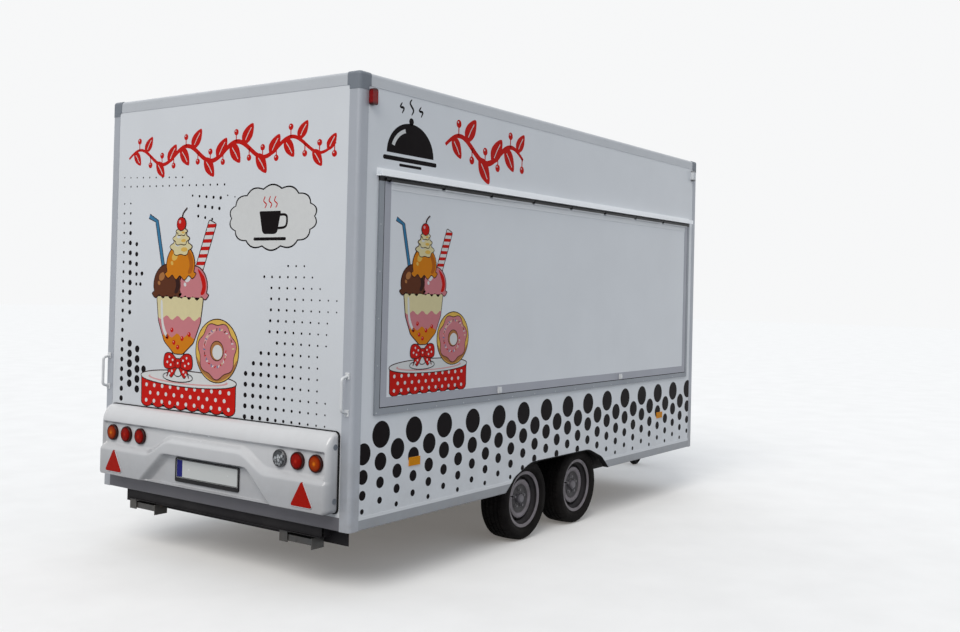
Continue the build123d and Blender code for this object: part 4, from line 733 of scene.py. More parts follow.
def sundae(sheet):
    """A tall sundae and a ring cake on a tray over a dotted cloth, 0.86 units wide."""
    cloth = [(0.03, 0.165)]
    for index in range(8):
        cloth += placed(arc(202.5, 360, 7, 0.05, 0.032), 0.08 + 0.10 * index, 0.035)
    sheet.inked(cloth + [(0.83, 0.165)], "red", 1)
    for row in range(3):
        for column in range(12):
            u = 0.075 + 0.0705 * column + 0.035 * (row % 2)
            if u < 0.815:
                sheet.dot(u, 0.035 + 0.045 * row, 0.0115, 16, "pale", 3)
    # The tray, the glass and what is in it
    sheet.inked(disc(0.43, 0.178, 0.405, 64, 0.105), "pale", 3)
    sheet.dot(0.43, 0.176, 0.34, 56, "rose", 5, 0.085)
    sheet.dot(0.43, 0.181, 0.325, 56, "pale", 6, 0.08)
    sheet.inked(disc(0.35, 0.185, 0.125, 40, 0.2), "pale", 6)
    stem = [(0.325, 0.20), (0.34, 0.27), (0.30, 0.335), (0.40, 0.335), (0.36, 0.27), (0.375, 0.20)]
    sheet.inked(smooth(stem, 5), "pale", 8)
    bowl = [(0.150, 0.64), (0.550, 0.64), (0.530, 0.50), (0.475, 0.385), (0.385, 0.318), (0.315, 0.318),
            (0.225, 0.385), (0.170, 0.50)]
    glass = rounded(bowl, [0.012, 0.012, 0.06, 0.06, 0.03, 0.03, 0.06, 0.06], 4)
    sheet.inked(glass, "orange", 10)
    for low, high, ink, level in ((0.42, 0.54, "pink", 12), (0.52, 0.66, "cream", 13)):
        wave = [(0.12 + 0.46 * i / 24, low + 0.013 * math.sin(i * 1.25)) for i in range(25)]
        for left, right in zip(wave[:-1], wave[1:]):
            strip = inside_of([left, right, (right[0], high), (left[0], high)], anticlockwise(glass))
            if strip:
                sheet.shape(strip, ink, level)
    for u, v in ((0.25, 0.40), (0.31, 0.37), (0.38, 0.395), (0.44, 0.42), (0.345, 0.345), (0.29, 0.44)):
        sheet.dot(u, v + 0.01, 0.014, 14, "red", 14)
        sheet.dot(u - 0.004, v + 0.014, 0.004, 8, "rose", 15)
    gleam = [(0.185, 0.60), (0.20, 0.61), (0.215, 0.49), (0.255, 0.41), (0.240, 0.405), (0.20, 0.47)]
    sheet.shape(smooth(gleam, 6), "pale", 14)
    # The straw and the striped wafer
    straw = [(0.215, 0.74), (0.130, 1.075), (0.060, 1.105)]
    sheet.stroke(straw, 0.032, "line", 1)
    sheet.stroke(straw, 0.021, "blue", 2)
    left, right, foot, lean = 0.455, 0.515, (0.485, 0.74), -0.38
    sheet.inked(turned(rectangle(left, 0.74, right, 1.085, 0.008, 3), lean, foot), "pale", 1)
    for index in range(7):
        v = 0.77 + 0.045 * index
        stripe = [(left, v), (right, v + 0.025), (right, v + 0.047), (left, v + 0.022)]
        sheet.shape(turned(stripe, lean, foot), "red", 3)
    scoop(sheet, 0.238, 0.705, 0.118, "brown", "line", "tan", 12)
    scoop(sheet, 0.465, 0.700, 0.115, "pink", "red", "pale", 12)
    scoop(sheet, 0.350, 0.820, 0.120, "orange", "amber", "yellow", 15)
    # Whipped cream and a cherry
    puffs = ((0.350, 0.925, 0.083, 18), (0.350, 0.972, 0.062, 20), (0.353, 1.014, 0.041, 22))
    for u, v, radius, level in puffs:
        sheet.inked(disc(u, v, radius, 40, 0.55, lambda a: 1 + 0.13 * math.cos(6 * a)), "cream", level, 0.005)
        sheet.dot(u + radius * 0.35, v - radius * 0.18, radius * 0.34, 18, "yellow", level + 2, 0.45)
        sheet.dot(u - radius * 0.35, v + radius * 0.15, radius * 0.26, 18, "pale", level + 2, 0.5)
    sheet.stroke(smooth([(0.352, 1.075), (0.362, 1.115), (0.395, 1.145)], 6, False), 0.008, "line", 24)
    sheet.inked(disc(0.350, 1.055, 0.036, 28), "red", 24, 0.005)
    sheet.dot(0.337, 1.068, 0.010, 14, "rose", 26)
    ring_cake(sheet, 0.675, 0.350, 0.172)
    ribbon_bow(sheet, 0.35, 0.262)


def ring_cake(sheet, u, v, radius):
    """A glazed ring cake with sprinkles, standing on its edge."""
    sheet.inked(disc(u, v, radius, 48), "yellow", 7)
    crust = [(-0.95, -0.25), (-0.7, -0.70), (0, -0.985), (0.7, -0.70), (0.95, -0.25), (0.6, -0.62),
             (0, -0.86), (-0.6, -0.62)]
    sheet.shape(placed(smooth(crust, 5), u, v, radius), "tan", 9)
    sheet.inked(disc(u, v, radius, 60, 1.0, lambda a: 0.86 + 0.055 * math.sin(7 * a)), "pink", 9, 0.005)
    gleam = [(-0.66, 0.12), (-0.50, 0.50), (-0.10, 0.70), (-0.12, 0.60), (-0.42, 0.40), (-0.56, 0.12)]
    sheet.shape(placed(smooth(gleam, 5), u, v, radius), "rose", 11)
    sheet.inked(disc(u, v, radius * 0.30, 28), "tan", 11, 0.005)
    sheet.dot(u + radius * 0.03, v - radius * 0.04, radius * 0.235, 26, "pale", 13)
    draw = random.Random(7)
    for index in range(34):
        angle = 2 * math.pi * (index * 0.381966 % 1.0)
        reach = radius * (0.42 + 0.36 * ((index * 0.618) % 1.0))
        cu, cv = u + reach * math.cos(angle), v + reach * math.sin(angle)
        bead = rectangle(cu - 0.009, cv - 0.0032, cu + 0.009, cv + 0.0032, 0.003, 2)
        ink = ("red", "cream", "blue", "pale", "brown")[index % 5]
        sheet.shape(turned(bead, draw.uniform(0, math.pi), (cu, cv)), ink, 12)


def ribbon_bow(sheet, u, v):
    """A dotted bow tied round the stem."""
    tail = [(0, 0), (0.052, -0.078), (0.082, -0.052), (0.095, -0.083), (0.060, 0.0)]
    loop = [(0, 0), (0.055, 0.052), (0.112, 0.046), (0.118, -0.020), (0.060, -0.030)]
    fold = [(0.012, 0.004), (0.05, 0.012), (0.012, -0.004)]
    dots = [(0.045, 0.018), (0.075, 0.034), (0.092, 0.004), (0.062, -0.010), (0.05, -0.045), (0.07, -0.06)]
    for side in (-1, 1):
        sheet.inked(placed(smooth(tail, 5), u, v, side, 1), "red", 12, 0.005)
        sheet.inked(placed(smooth(loop, 6), u, v, side, 1), "red", 14, 0.005)
        for du, dv in dots:
            sheet.dot(u + side * du, v + dv, 0.0072, 12, "pale", 16)
        sheet.shape(placed(smooth(fold, 4), u, v, side, 1), "deep_red", 16)
    sheet.inked(rectangle(u - 0.021, v - 0.024, u + 0.021, v + 0.026, 0.012, 4), "red", 17, 0.005)
    sheet.dot(u, v + 0.002, 0.0065, 12, "pale", 19)


def vine(sheet, length, height, leaves):
    """A heavy red scroll of leaves and berries along a waving stem."""
    def wave(share):
        return length * share, height * (0.5 + 0.24 * math.sin(2 * math.pi * share * leaves / 4))
    sheet.stroke([wave(i / 120) for i in range(121)],
                 lambda s: height * (0.07 + 0.06 * math.sin(math.pi * s)), "red", 1)
    leaf = smooth([(-0.05, 0), (0.24, 0.34), (0.70, 0.33), (1.16, 0.03), (0.70, -0.28), (0.26, -0.26)], 6)
    rib = [(0.20, 0), (0.55, 0.03), (0.92, 0.02)]
    for index in range(leaves):
        share = (index + 0.5) / leaves
        u, v = wave(share)
        side = 1 if index % 2 else -1
        size = height * (0.40 + 0.16 * math.sin(math.pi * share))
        sheet.shape(turned(placed(leaf, u, v, size), side * 0.95, (u, v)), "red", 2)
        sheet.stroke(turned(placed(rib, u, v, size), side * 0.95, (u, v)), height * 0.022, "pale", 3)
        bu, bv = wave(min(share + 0.42 / leaves, 1.0))
        berry = (bu, bv - side * height * 0.26)
        sheet.stroke([(bu, bv), berry], height * 0.035, "red", 1)
        sheet.dot(*berry, height * 0.088, 20, "red", 2)
        sheet.dot(berry[0] - height * 0.026, berry[1] + height * 0.03, height * 0.02, 10, "pale", 3)


def cloche(sheet):
    """A black serving dome with steam, one unit wide."""
    sheet.shape(placed(arc(0, 180, 30, 0.42, 0.36), 0.5, 0.16), "black")
    sheet.dot(0.5, 0.545, 0.042, 24)
    sheet.shape(rectangle(0.02, 0.075, 0.98, 0.125, 0.024, 5), "black")
    sheet.shape(rectangle(0.30, 0.02, 0.70, 0.052, 0.015, 5), "black")
    gleam = placed(arc(108, 162, 9), 0, 0, 0.84) + placed(arc(162, 108, 9), 0, 0, 0.72)
    sheet.shape(placed(gleam, 0.5, 0.16, 0.42, 0.36), "pale", 2)
    for shift in (-0.17, 0.0, 0.17):
        top = 0.80 - 0.35 * abs(shift)
        steam = smooth([(0.5, 0.62), (0.53, 0.68), (0.47, top - 0.05), (0.50, top)], 8, False)
        sheet.stroke(placed(steam, shift, 0), lambda s: 0.010 + 0.018 * math.sin(math.pi * s), "black", 1)


def badge(sheet):
    """A scalloped oval in a thin line with a steaming cup, one unit wide."""
    for grow, ink, level in ((0.0, "black", 1), (-0.013, "pale", 2)):
        edge = []
        for a in turns(168):
            lobe = 0.028 * abs(math.sin(7 * a)) + grow
            edge.append((0.5 + (0.465 + lobe) * math.cos(a), 0.28 + (0.235 + lobe) * math.sin(a)))
        sheet.shape(edge, ink, level)
    cup = [(0.36, 0.33), (0.60, 0.33), (0.56, 0.15), (0.40, 0.15)]
    sheet.shape(rounded(cup, [0.01, 0.01, 0.04, 0.04], 5), "black", 3)
    handle = smooth([(0.59, 0.30), (0.66, 0.29), (0.655, 0.21), (0.57, 0.195)], 6, False)
    sheet.stroke(handle, 0.020, "black", 3)
    sheet.shape(rectangle(0.30, 0.10, 0.66, 0.125, 0.012, 4), "black", 3)
    steam = smooth([(0.48, 0.355), (0.495, 0.385), (0.465, 0.41), (0.48, 0.445)], 6, False)
    for shift in (-0.06, 0.0, 0.06):
        sheet.stroke(placed(steam, shift, 0), 0.010, "red", 3)


REAR_WALL_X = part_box("rear_wall")[0].x
LEAF_Y = -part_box("serving_hatch")[0].y
BUMPER_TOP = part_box("rear_bumper_panel")[1].z
REAR, RIGHT = on_rear(REAR_WALL_X), on_side(-1, PANEL_Y)
rear_art = Print(REAR, 1.03, (0.705, BUMPER_TOP + 0.008), -1)
for name, sheet, draw, sizes, body in (
    ("rear_sundae_print", rear_art, sundae, (), BODY),
    ("rear_vine_print", Print(REAR, 1.0, (0.855, 2.262), -1), vine, (1.72, 0.205, 16), BODY),
    ("rear_badge_print", Print(REAR, 0.70, (-0.055, 1.785), -1), badge, (), BODY),
    ("side_cloche_print", Print(RIGHT, 0.48, (REAR_X + 0.185, 2.256)), cloche, (), BODY),
    ("side_vine_print", Print(RIGHT, 1.0, (REAR_X + 0.735, 2.300)), vine, (0.81, 0.27, 6), BODY),
    ("hatch_sundae_print", Print(on_side(-1, LEAF_Y), 0.86, (REAR_X + 0.255, 1.032)), sundae, (),
     "serving_hatch"),
):
    draw(sheet, *sizes)
    sheet.made(name, INKS, body=body)


def side_dots(name, frame_of, holes, window, body=BODY):
    """Bands of halftone dots that shrink downwards, cut by the trim and the fittings."""
    sheet = Print(frame_of)
    columns = (
        ((0.748, 0.114), (0.629, 0.077), (0.534, 0.051), (0.451, 0.028)),
        ((0.838, 0.143), (0.695, 0.095), (0.585, 0.061), (0.491, 0.037)),
    )
    start, pitch, count = REAR_X + 0.097, 0.1385, 31
    for index in range(count):
        for v, width in columns[index % 2]:
            parts = [inside_of(disc(start + pitch * index, v, width / 2, 40), window)]
            for hole in holes:
                parts = outside_of(parts, hole)
            for part in filter(None, parts):
                sheet.shape(part, "black")
    sheet.made(name, INKS, body=body)


POST_FACE, LEFT_TOP = 0.0702, 0.94
door_low, door_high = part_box("entry_door")
frame_low, frame_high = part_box("door_frame")
reflector_low, reflector_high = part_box("side_reflectors")
reflector_z = (reflector_low.z + reflector_high.z) / 2
holes = [anticlockwise(arch_outline(0.0050, 5))] + [
    rectangle(x - 0.0475, reflector_z - 0.0235, x + 0.0475, reflector_z + 0.0235)
    for x in (reflector_low.x + 0.047, reflector_high.x - 0.047)]
doorway = rectangle(frame_low.x - 0.001, frame_low.z - 0.001, frame_high.x + 0.001, frame_high.z)
right_window, left_window = (
    rectangle(REAR_X + POST_FACE, SKIRT_Z + POST_FACE, FRONT_X - POST_FACE, top)
    for top in (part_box("hatch_frame")[0].z - 0.002, LEFT_TOP))
side_dots("right_side_dots", RIGHT, holes, right_window)
side_dots("left_side_dots", on_side(1, PANEL_Y), [holes[0], doorway] + holes[1:], left_window)
leaf_window = rectangle(door_low.x + 0.001, door_low.z + 0.001, door_high.x - 0.001, LEFT_TOP)
side_dots("door_dots", on_side(1, door_high.y), [], leaf_window, "entry_door")


def rear_dots():
    """The rear's finer halftone: rows on top, columns at the margin and a field that fades rightwards."""
    sheet = Print(REAR)
    pitch, drop = 0.0605, 0.0596

    def dot(y, z, width):
        sheet.dot(y, z, width / 2, 20)

    for z, start, count, first, last in (
        (2.252, 0.894, 10, 0.009, 0.012), (2.196, 0.891, 16, 0.011, 0.013), (2.121, 0.255, 5, 0.014, 0.020),
        (2.113, -0.045, 3, 0.010, 0.007), (2.061, 0.203, 4, 0.020, 0.020), (2.001, 0.201, 3, 0.018, 0.016),
    ):
        for index in range(count):
            share = index / (count - 1)
            dot(start - pitch * index, z - 0.020 * share, first + (last - first) * share)
    for index in range(21):
        dot(0.888 - 0.0009 * index, 2.091 - drop * index, 0.010 + 0.024 * (index / 20) ** 0.8)
    for start, z, widths in (
        (0.828, 2.092, (0.012, 0.015, 0.022, 0.026, 0.029, 0.030, 0.031, 0.032, 0.034, 0.033, 0.031, 0.029)),
        (0.801, 1.237, (0.042, 0.046, 0.049, 0.049, 0.046)),
        (0.759, 1.842, (0.026, 0.029, 0.028, 0.024, 0.020)),
        (0.727, 1.207, (0.042, 0.046, 0.048, 0.048, 0.044)), (0.661, 1.089, (0.043,)),
    ):
        for index, width in enumerate(widths):
            dot(start - 0.0017 * index, z - pitch * index, width)
    for y, z, width in ((0.701, 1.664, 0.026), (0.713, 1.600, 0.023), (0.642, 1.040, 0.015)):
        dot(y, z, width)
    # The field: each row's first and last place, measured to the right of the middle
    rows = (
        (0.539, 0.72), (0.358, 0.73), (0.416, 0.79), (0.416, 0.90), (0.416, 0.90), (0.413, 0.84),
        (0.410, 0.84), (0.469, 0.84), (0.347, 0.83), (0.290, 0.83), (0.109, 0.83), (0.049, 0.83),
        (-0.011, 0.89), (-0.011, 0.89), (0.049, 0.89),
    )
    for row, (first, last) in enumerate(rows):
        z = 1.716 - drop * row
        # The picture is wider beside its cake than above it
        art_edge = rear_art.origin[0] - rear_art.scale * (0.87 if z < 1.43 else 0.62) - 0.03
        for index in range(16):
            y = -first - pitch * index
            if -last <= y <= art_edge:
                fade = max((0.92 + y) / 0.93, 0.0) ** 1.25
                dot(y, z, 0.009 + 0.027 * fade * (0.35 + 0.65 * min((row + 1) / 11, 1.0)))
    sheet.made("rear_dots", INKS)


rear_dots()


# Rear bumper

def bumper():
    """The moulded rear panel, as one smooth skin with a closed back."""
    low_box, high_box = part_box("rear_bumper_panel")
    half, low, high = high_box.y, low_box.z, high_box.z
    step_z, waist, crown = SKIRT_Z + 0.410, SKIRT_Z + 0.260, SKIRT_Z + 0.355
    flank, foot = 0.530, 0.345
    lean = (flank - foot) / (waist - low)

    def step(start, end, value):
        share = min(max((value - start) / (end - start), 0.0), 1.0)
        return share * share * (3 - 2 * share)

    def depth(y, z):
        """How far the skin stands behind the wall."""
        side = abs(y)
        crest = waist + (crown - waist) * step(0.510, 0.280, side)
        deep = 0.060 + 0.038 * step(-0.028, 0.020, crest - z)
        to_flank = (flank - (z - low) * lean - side) / math.hypot(1.0, lean)
        inset = step(-0.020, 0.026, to_flank) * step(-0.010, 0.012, waist + 0.006 - z)
        deep -= 0.044 * inset * step(-0.004, 0.012, z - low)
        deep += (max(deep, 0.084) - deep) * step(-0.008, 0.004, side - (half - 0.022))
        rise = min(max((z - step_z) / (high - step_z), 0.0), 1.0)
        band = 0.030 + 0.054 * (1 - rise ** 2.1)
        return deep + (band - deep) * step(-0.014, 0.004, z - step_z)

    # Rows lie closer at the rolled edges and at the step
    row_gap, fine, step_gap = 0.0045, [0.0006 * i * i for i in range(6)], 0.0016
    heights = sorted({round(z, 5) for z in [
        *(low + row_gap * i for i in range(int((high - low) / row_gap) + 1)),
        *(low + lift for lift in fine), *(high - lift for lift in fine),
        *(step_z + step_gap * i for i in range(-9, 5))]})
    columns, corner, lip, back = 330, 0.025, 0.018, REAR_X + 0.002
    vertices, faces = [], []
    for z in heights:
        rim = min(z - low, high - z)
        extent = half
        if rim < corner:
            extent -= corner - math.sqrt(max(corner ** 2 - (corner - rim) ** 2, 0.0))
        for column in range(columns + 1):
            share = -1 + 2 * column / columns
            y = extent * (math.sin(share * math.pi / 2) * 0.35 + share * 0.65)
            edge = min((extent - abs(y)) * 0.75, (z - low) * 1.9, high - z)
            roll = math.sqrt(max(1 - (1 - min(edge, lip) / lip) ** 2, 0.0))
            vertices.append((REAR_X - depth(y, z) * (0.6 + 0.4 * roll), y, z))
    width, top = columns + 1, (len(heights) - 1) * (columns + 1)
    for row in range(0, top, width):
        faces += [(a, a + 1, a + width + 1, a + width) for a in range(row, row + columns)]
    # The border, anticlockwise from the low right corner, is carried back and closed
    loop = [*range(columns), *range(columns, top + columns, width), *range(top + columns, top, -1),
            *range(top, 0, -width)]
    start, count = len(vertices), len(loop)
    vertices += [(back, vertices[i][1], vertices[i][2]) for i in loop]
    faces += [(loop[i], loop[(i + 1) % count], start + (i + 1) % count, start + i) for i in range(count)]
    faces.append(tuple(range(start, start + count)))
    skin = Build()
    skin.add(vertices, faces)
    made = skin.trim("rear_bumper", "bumper_white", 50)
    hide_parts("rear_bumper_panel")
    gasket = Build()
    outer = rectangle(-half - 0.008, low - 0.004, half + 0.008, high + 0.005, 0.030, 8)
    gasket.prism(outer, 0.0002, 0.0075, on_rear(back))
    gasket.trim("bumper_gasket", "rubber")
    caps = Build()
    for side in SIDES.values():
        for z in (low + 0.066, high - 0.075):
            caps.lathe([(0.016, -0.002), (0.016, 0.0004), (0.014, 0.0014), (0.008, 0.0006)],
                       (REAR_X - 0.024, side * half, z), (0, side, 0), 28)
    caps.trim("bumper_caps", "corner_plastic")


bumper()


def plate():
    """A blank plate with an embossed rim, a plain blue end and two rivets."""
    low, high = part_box("number_plate")
    face, middle = low.x + 0.004, (low.z + high.z) / 2 + 0.009
    half_y, half_z, blue_end = 0.258, 0.0535, 0.058
    build, at = Build(), on_rear(face)

    def inset(edge, radius, right=-half_y):
        return rectangle(right + edge, middle - half_z + edge, half_y - edge, middle + half_z - edge, radius)

    build.prism(inset(0.0, 0.007), 0.0002, 0.0010, at)
    outer, inner = inset(0.0022, 0.006), inset(0.0052, 0.006)
    for index in range(len(outer)):
        build.prism([outer[index - 1], outer[index], inner[index], inner[index - 1]], 0.0010, 0.0007, at, 1)
    build.prism(inset(0.006, 0.003, half_y - blue_end), 0.0010, 0.0004, at, 2)
    rivet = [(0.0055, 0.0008), (0.0050, 0.0022), (0.0030, 0.0030)]
    for y in (-0.175, 0.150):
        build.lathe(rivet, (face, y, middle), (-1, 0, 0), 20, 3)
    build.made("blank_plate", [
        reflector_finish("plate_white", (0.60, 0.61, 0.60), 0.06), BY_SLOT["plate_holder"],
        vinyl_finish("plate_blue", (0.022, 0.024, 0.17)), BY_SLOT["white_fitting"]])


plate()


# Lamps

BEZEL = Finish("lamp_bezel", (0.030, 0.006, 0.005), specular=0.2).done()
GREY_BEZEL = Finish("lamp_bezel_grey", (0.10, 0.10, 0.105), (0.2, 0.3), 0.4).done()
# Each lens's second colour is its painted glow
LENSES = {
    "red": [BEZEL, lens_finish("lens_red", (0.28, 0.003, 0.001), (0.55, 0.022, 0.006))],
    "orange": [BEZEL, lens_finish("lens_orange", (0.33, 0.024, 0.001), (0.92, 0.26, 0.012))],
    "clear": [GREY_BEZEL, lens_finish("lens_clear", (0.42, 0.44, 0.46), (0.66, 0.68, 0.70), 0.35)],
}
lamp_low, lamp_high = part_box("rear_lamps")
LAMP_RADIUS, LAMP_REACH = (lamp_high.z - lamp_low.z) / 2, lamp_high.x - lamp_low.x


def rear_lamp(name, y, tone):
    """A round lamp: bezel, stepped ring and a domed lens with moulded rings."""
    build = Build()
    bezel = [(LAMP_RADIUS - inset, lift) for inset, lift in (
        (0.0, 0.0), (0.0, 0.011), (0.0015, 0.0145), (0.004, 0.016), (0.0050, 0.0158), (0.0058, 0.0135),
        (0.0058, 0.0))]
    build.lathe(bezel, (0, 0, 0), (-1, 0, 0), 72, closed=True)
    lens = [(LAMP_RADIUS - 0.006, 0.0)]
    for share in (step / 26 for step in range(27)):
        dome = 0.0145 + (LAMP_REACH - 0.0155) * math.sqrt(max(1 - (1 - share) ** 2, 0.0))
        ripple = 0.00045 * math.sin(share * 34) if 0.15 < share < 0.95 else 0.0
        lens.append((max((LAMP_RADIUS - 0.006) * (1 - share), 0.0006), dome + ripple))
    build.lathe(lens, (0, 0, 0), (-1, 0, 0), 72, 1)
    made = build.made(name, LENSES[tone], slot="lamp_lens", smooth=40)
    made.location = (lamp_high.x, y, (lamp_low.z + lamp_high.z) / 2)
    return made


# From the inner lamp to the outer one, as shares of the half width
LAMP_SHARES = (0.621, 0.76, 0.9)
lamp_ys = [(lamp_high.y - LAMP_RADIUS) * share / LAMP_SHARES[-1] for share in LAMP_SHARES]
lamps = [
    rear_lamp(f"{name}_lamp_{place}", SIDES[name] * lamp_ys[place], tone)
    for name, tones in (("left", ("red", "red", "orange")), ("right", ("clear", "red", "orange")))
    for place, tone in enumerate(tones)
]
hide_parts("rear_lamps")


def triangle_rims():
    """Pale rims round the two triangular reflectors."""
    low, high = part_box("triangle_reflectors")
    base_x, half, rim, thick = REAR_X - 0.0975, 0.0775, 0.0035, 0.0048
    foot, tip, corner = 0.0045, 0.010, 0.011
    build = Build()
    for side in SIDES.values():
        y, reach = side * (high.y - 0.0713), half + rim
        corners = [(y - reach, low.z - foot), (y + reach, low.z - foot), (y, high.z + tip)]
        build.prism(rounded(corners, [corner] * 3, 6), 0.0, thick, on_rear(base_x))
    build.trim("triangle_rims", "white_fitting")


triangle_rims()


# Wheels

def polar(radius, turn, y):
    """A point about the Y axis."""
    return (radius * math.cos(turn), y, radius * math.sin(turn))


def tyre_form(width, outer, flange):
    """A tyre about the Y axis: carcass with sidewall ribs, and a grooved, sliced tread."""
    half = width / 2
    crown_half = half - 0.027
    grooves, groove_half, groove_depth = (-0.046, -0.0165, 0.0165, 0.046), 0.0036, 0.0068
    crown_drop, slice_depth, shoulder_depth = 0.0030, 0.0048, 0.0035
    cuts = {round(y, 5) for y in (
        -crown_half, crown_half, -0.058, -0.034, -0.024, 0.0, 0.024, 0.034, 0.058,
        *(y + sign * (groove_half + more) for y in grooves for sign in (-1, 1) for more in (0.0, 0.0006)))}
    side = [(flange + rise, half - inset) for rise, inset in (
        (-0.0145, 0.0225), (0.0012, 0.0185), (0.004, 0.0125), (0.008, 0.0075), (0.011, 0.0072),
        (0.0115, 0.0060), (0.022, 0.0018), (0.0235, 0.0008), (0.030, 0.0002), (0.038, 0.0),
        (0.0385, 0.0008), (0.0475, 0.0010), (0.048, 0.0002), (0.056, 0.0022), (0.064, 0.0070))]
    side += [(outer - drop, half - inset) for drop, inset in (
        (0.0125, 0.0125), (0.0075, 0.0170), (0.0035, 0.0225))]
    inner = [(outer - 0.013, half - 0.045), (outer - 0.020, half - 0.026), (flange + 0.036, half - 0.011),
             (flange, half - 0.0285), (flange - 0.0145, half - 0.035)]
    # Each point says whether it is in a groove, or None off the tread
    tread = []
    for y in sorted(cuts, reverse=True):
        in_groove = any(abs(y - centre) <= groove_half + 1e-6 for centre in grooves)
        tread.append((outer - crown_drop * (y / crown_half) ** 2 - groove_depth * in_groove, y, in_groove))
    profile = [(r, y, None) for r, y in side] + tread
    profile += [(r, -y, None) for r, y in side[::-1] + inner[::-1]] + [(r, y, None) for r, y in inner]

    def sliced(step, r, y, groove):
        """How deep the tread is cut at this step of the turn."""
        if groove is False:
            band = (abs(y) >= 0.0165) + (abs(y) >= 0.046)
            period, shift = ((10, 0), (10, 3), (8, 5))[band]
            return slice_depth if (step + shift + (3 if y > 0 and band else 0)) % period == 0 else 0.0
        on_shoulder = groove is None and r > outer - 0.013 and abs(y) > crown_half
        return shoulder_depth if on_shoulder and (step + (3 if y > 0 else 0) + 5) % 8 == 0 else 0.0

    build = Build()
    build.loft([[polar(r - sliced(step, r, y, groove), turn, y) for r, y, groove in profile]
                for step, turn in enumerate(turns(240))], closed=True)
    return build


def rim_form(flange, half, side):
    """Barrel, vented disc and wheel bolts about the Y axis."""
    build = Build()
    seat, sheet, face = flange - 0.015, 0.005, 0.030
    well, crown_end, bolt_circle, valve_circle = seat - 0.018, 0.1225, 0.056, 0.128
    out = (0, side, 0)
    barrel = [
        (flange, half), (flange + 0.0008, half - 0.0015), (flange, half - 0.003),
        (seat + 0.002, half - 0.0045), (seat, half - 0.0075), (seat, half - 0.024),
        (well + 0.002, half - 0.034), (well, half - 0.038),
        (well, 0.038 - half), (well + 0.002, 0.034 - half), (seat, 0.024 - half), (seat, 0.0075 - half),
        (flange, 0.003 - half), (flange, -half), (flange - 0.004, -half), (seat - sheet, 0.004 - half),
        (seat - sheet, 0.024 - half), (well - sheet, 0.039 - half), (well - sheet, half - 0.039),
        (seat - sheet, half - 0.022), (seat - sheet, half - 0.006), (flange - 0.005, half - 0.001),
    ]
    build.lathe([(r, side * y) for r, y in barrel], (0, 0, 0), (0, 1, 0), 240, closed=True)
    # The disc, as front and back skins on a polar grid with slots left open
    shape = [
        (0.034, 0.0000), (0.040, 0.0000), (0.070, 0.0000), (0.078, 0.0010), (0.084, 0.0045), (0.092, 0.0115),
        (0.100, 0.0165), (0.106, 0.0183), (0.112, 0.0188), (0.118, 0.0183), (0.124, 0.0160), (0.130, 0.0090),
        (0.136, 0.0010), (well - sheet + 0.0005, -0.0060),
    ]
    steps, count, per, open_rings = 144, len(shape), 12, (10, 11)

    def is_open(ring, step):
        return ring in open_rings and abs((step % per) - per // 2 + 0.5) < 2

    def at(ring, step, back):
        return ((step % steps) * count + ring) * 2 + back

    def wall(a, b):
        """A face through the sheet, along the edge from a to b."""
        return at(*a, 0), at(*b, 0), at(*b, 1), at(*a, 1)

    faces = []
    for step in range(steps):
        for ring in range(count - 1):
            a, b, c, d = (ring, step), (ring, step + 1), (ring + 1, step), (ring + 1, step + 1)
            if is_open(ring, step):
                faces += [wall(*edge) for beside, edge in (
                    ((ring - 1, step), (a, b)), ((ring + 1, step), (c, d)),
                    ((ring, step - 1), (a, c)), ((ring, step + 1), (b, d))) if not is_open(*beside)]
            else:
                faces += [(at(*a, back), at(*c, back), at(*d, back), at(*b, back)) for back in (0, 1)]
        faces += [wall((ring, step), (ring, step + 1)) for ring in (0, count - 1)]
    build.add([polar(r, turn, side * (face + lift + thick)) for turn in turns(steps) for r, lift in shape
               for thick in (sheet, 0.0)], faces)
    # Painted shade, with some dust, darkens the barrel (3) and the bolt circle (4); the lip and the disc's
    # crown stay bright
    for index, corners in enumerate(build.faces):
        reach = sum(math.hypot(build.vertices[i].x, build.vertices[i].z) for i in corners) / len(corners)
        bright = reach > flange - 0.014 or 0.0955 < reach < crown_end
        build.materials[index] = 0 if bright else 3 if reach > crown_end else 4
    for turn in turns(5):
        centre = polar(bolt_circle, turn + 0.3, side * (face + sheet))
        build.lathe([(0.0125, -0.0005), (0.0125, 0.003), (0.0105, 0.0045)], centre, out, 24, 1)
        build.lathe([(0.0098, 0.003), (0.0098, 0.0135), (0.0082, 0.0155)], centre, out, 6, 1)
    stem = [(0.0055, 0.0), (0.0050, 0.012), (0.0032, 0.014), (0.0032, 0.026), (0.0040, 0.027),
            (0.0040, 0.036)]
    build.lathe(stem, polar(valve_circle, 2.88, side * (face + 0.010)), out, 16, 2)
    weight = [(flange - drop, half - inset) for drop, inset in (
        (0.009, 0.007), (0.0045, 0.002), (0.007, -0.0005), (0.012, 0.003))]
    for start, length in ((0.9, 0.20), (4.1, 0.14)):
        sweep = [start + length * step / 8 for step in range(9)]
        build.loft([[polar(r, turn, side * y) for r, y in weight] for turn in sweep], 1)
    return build


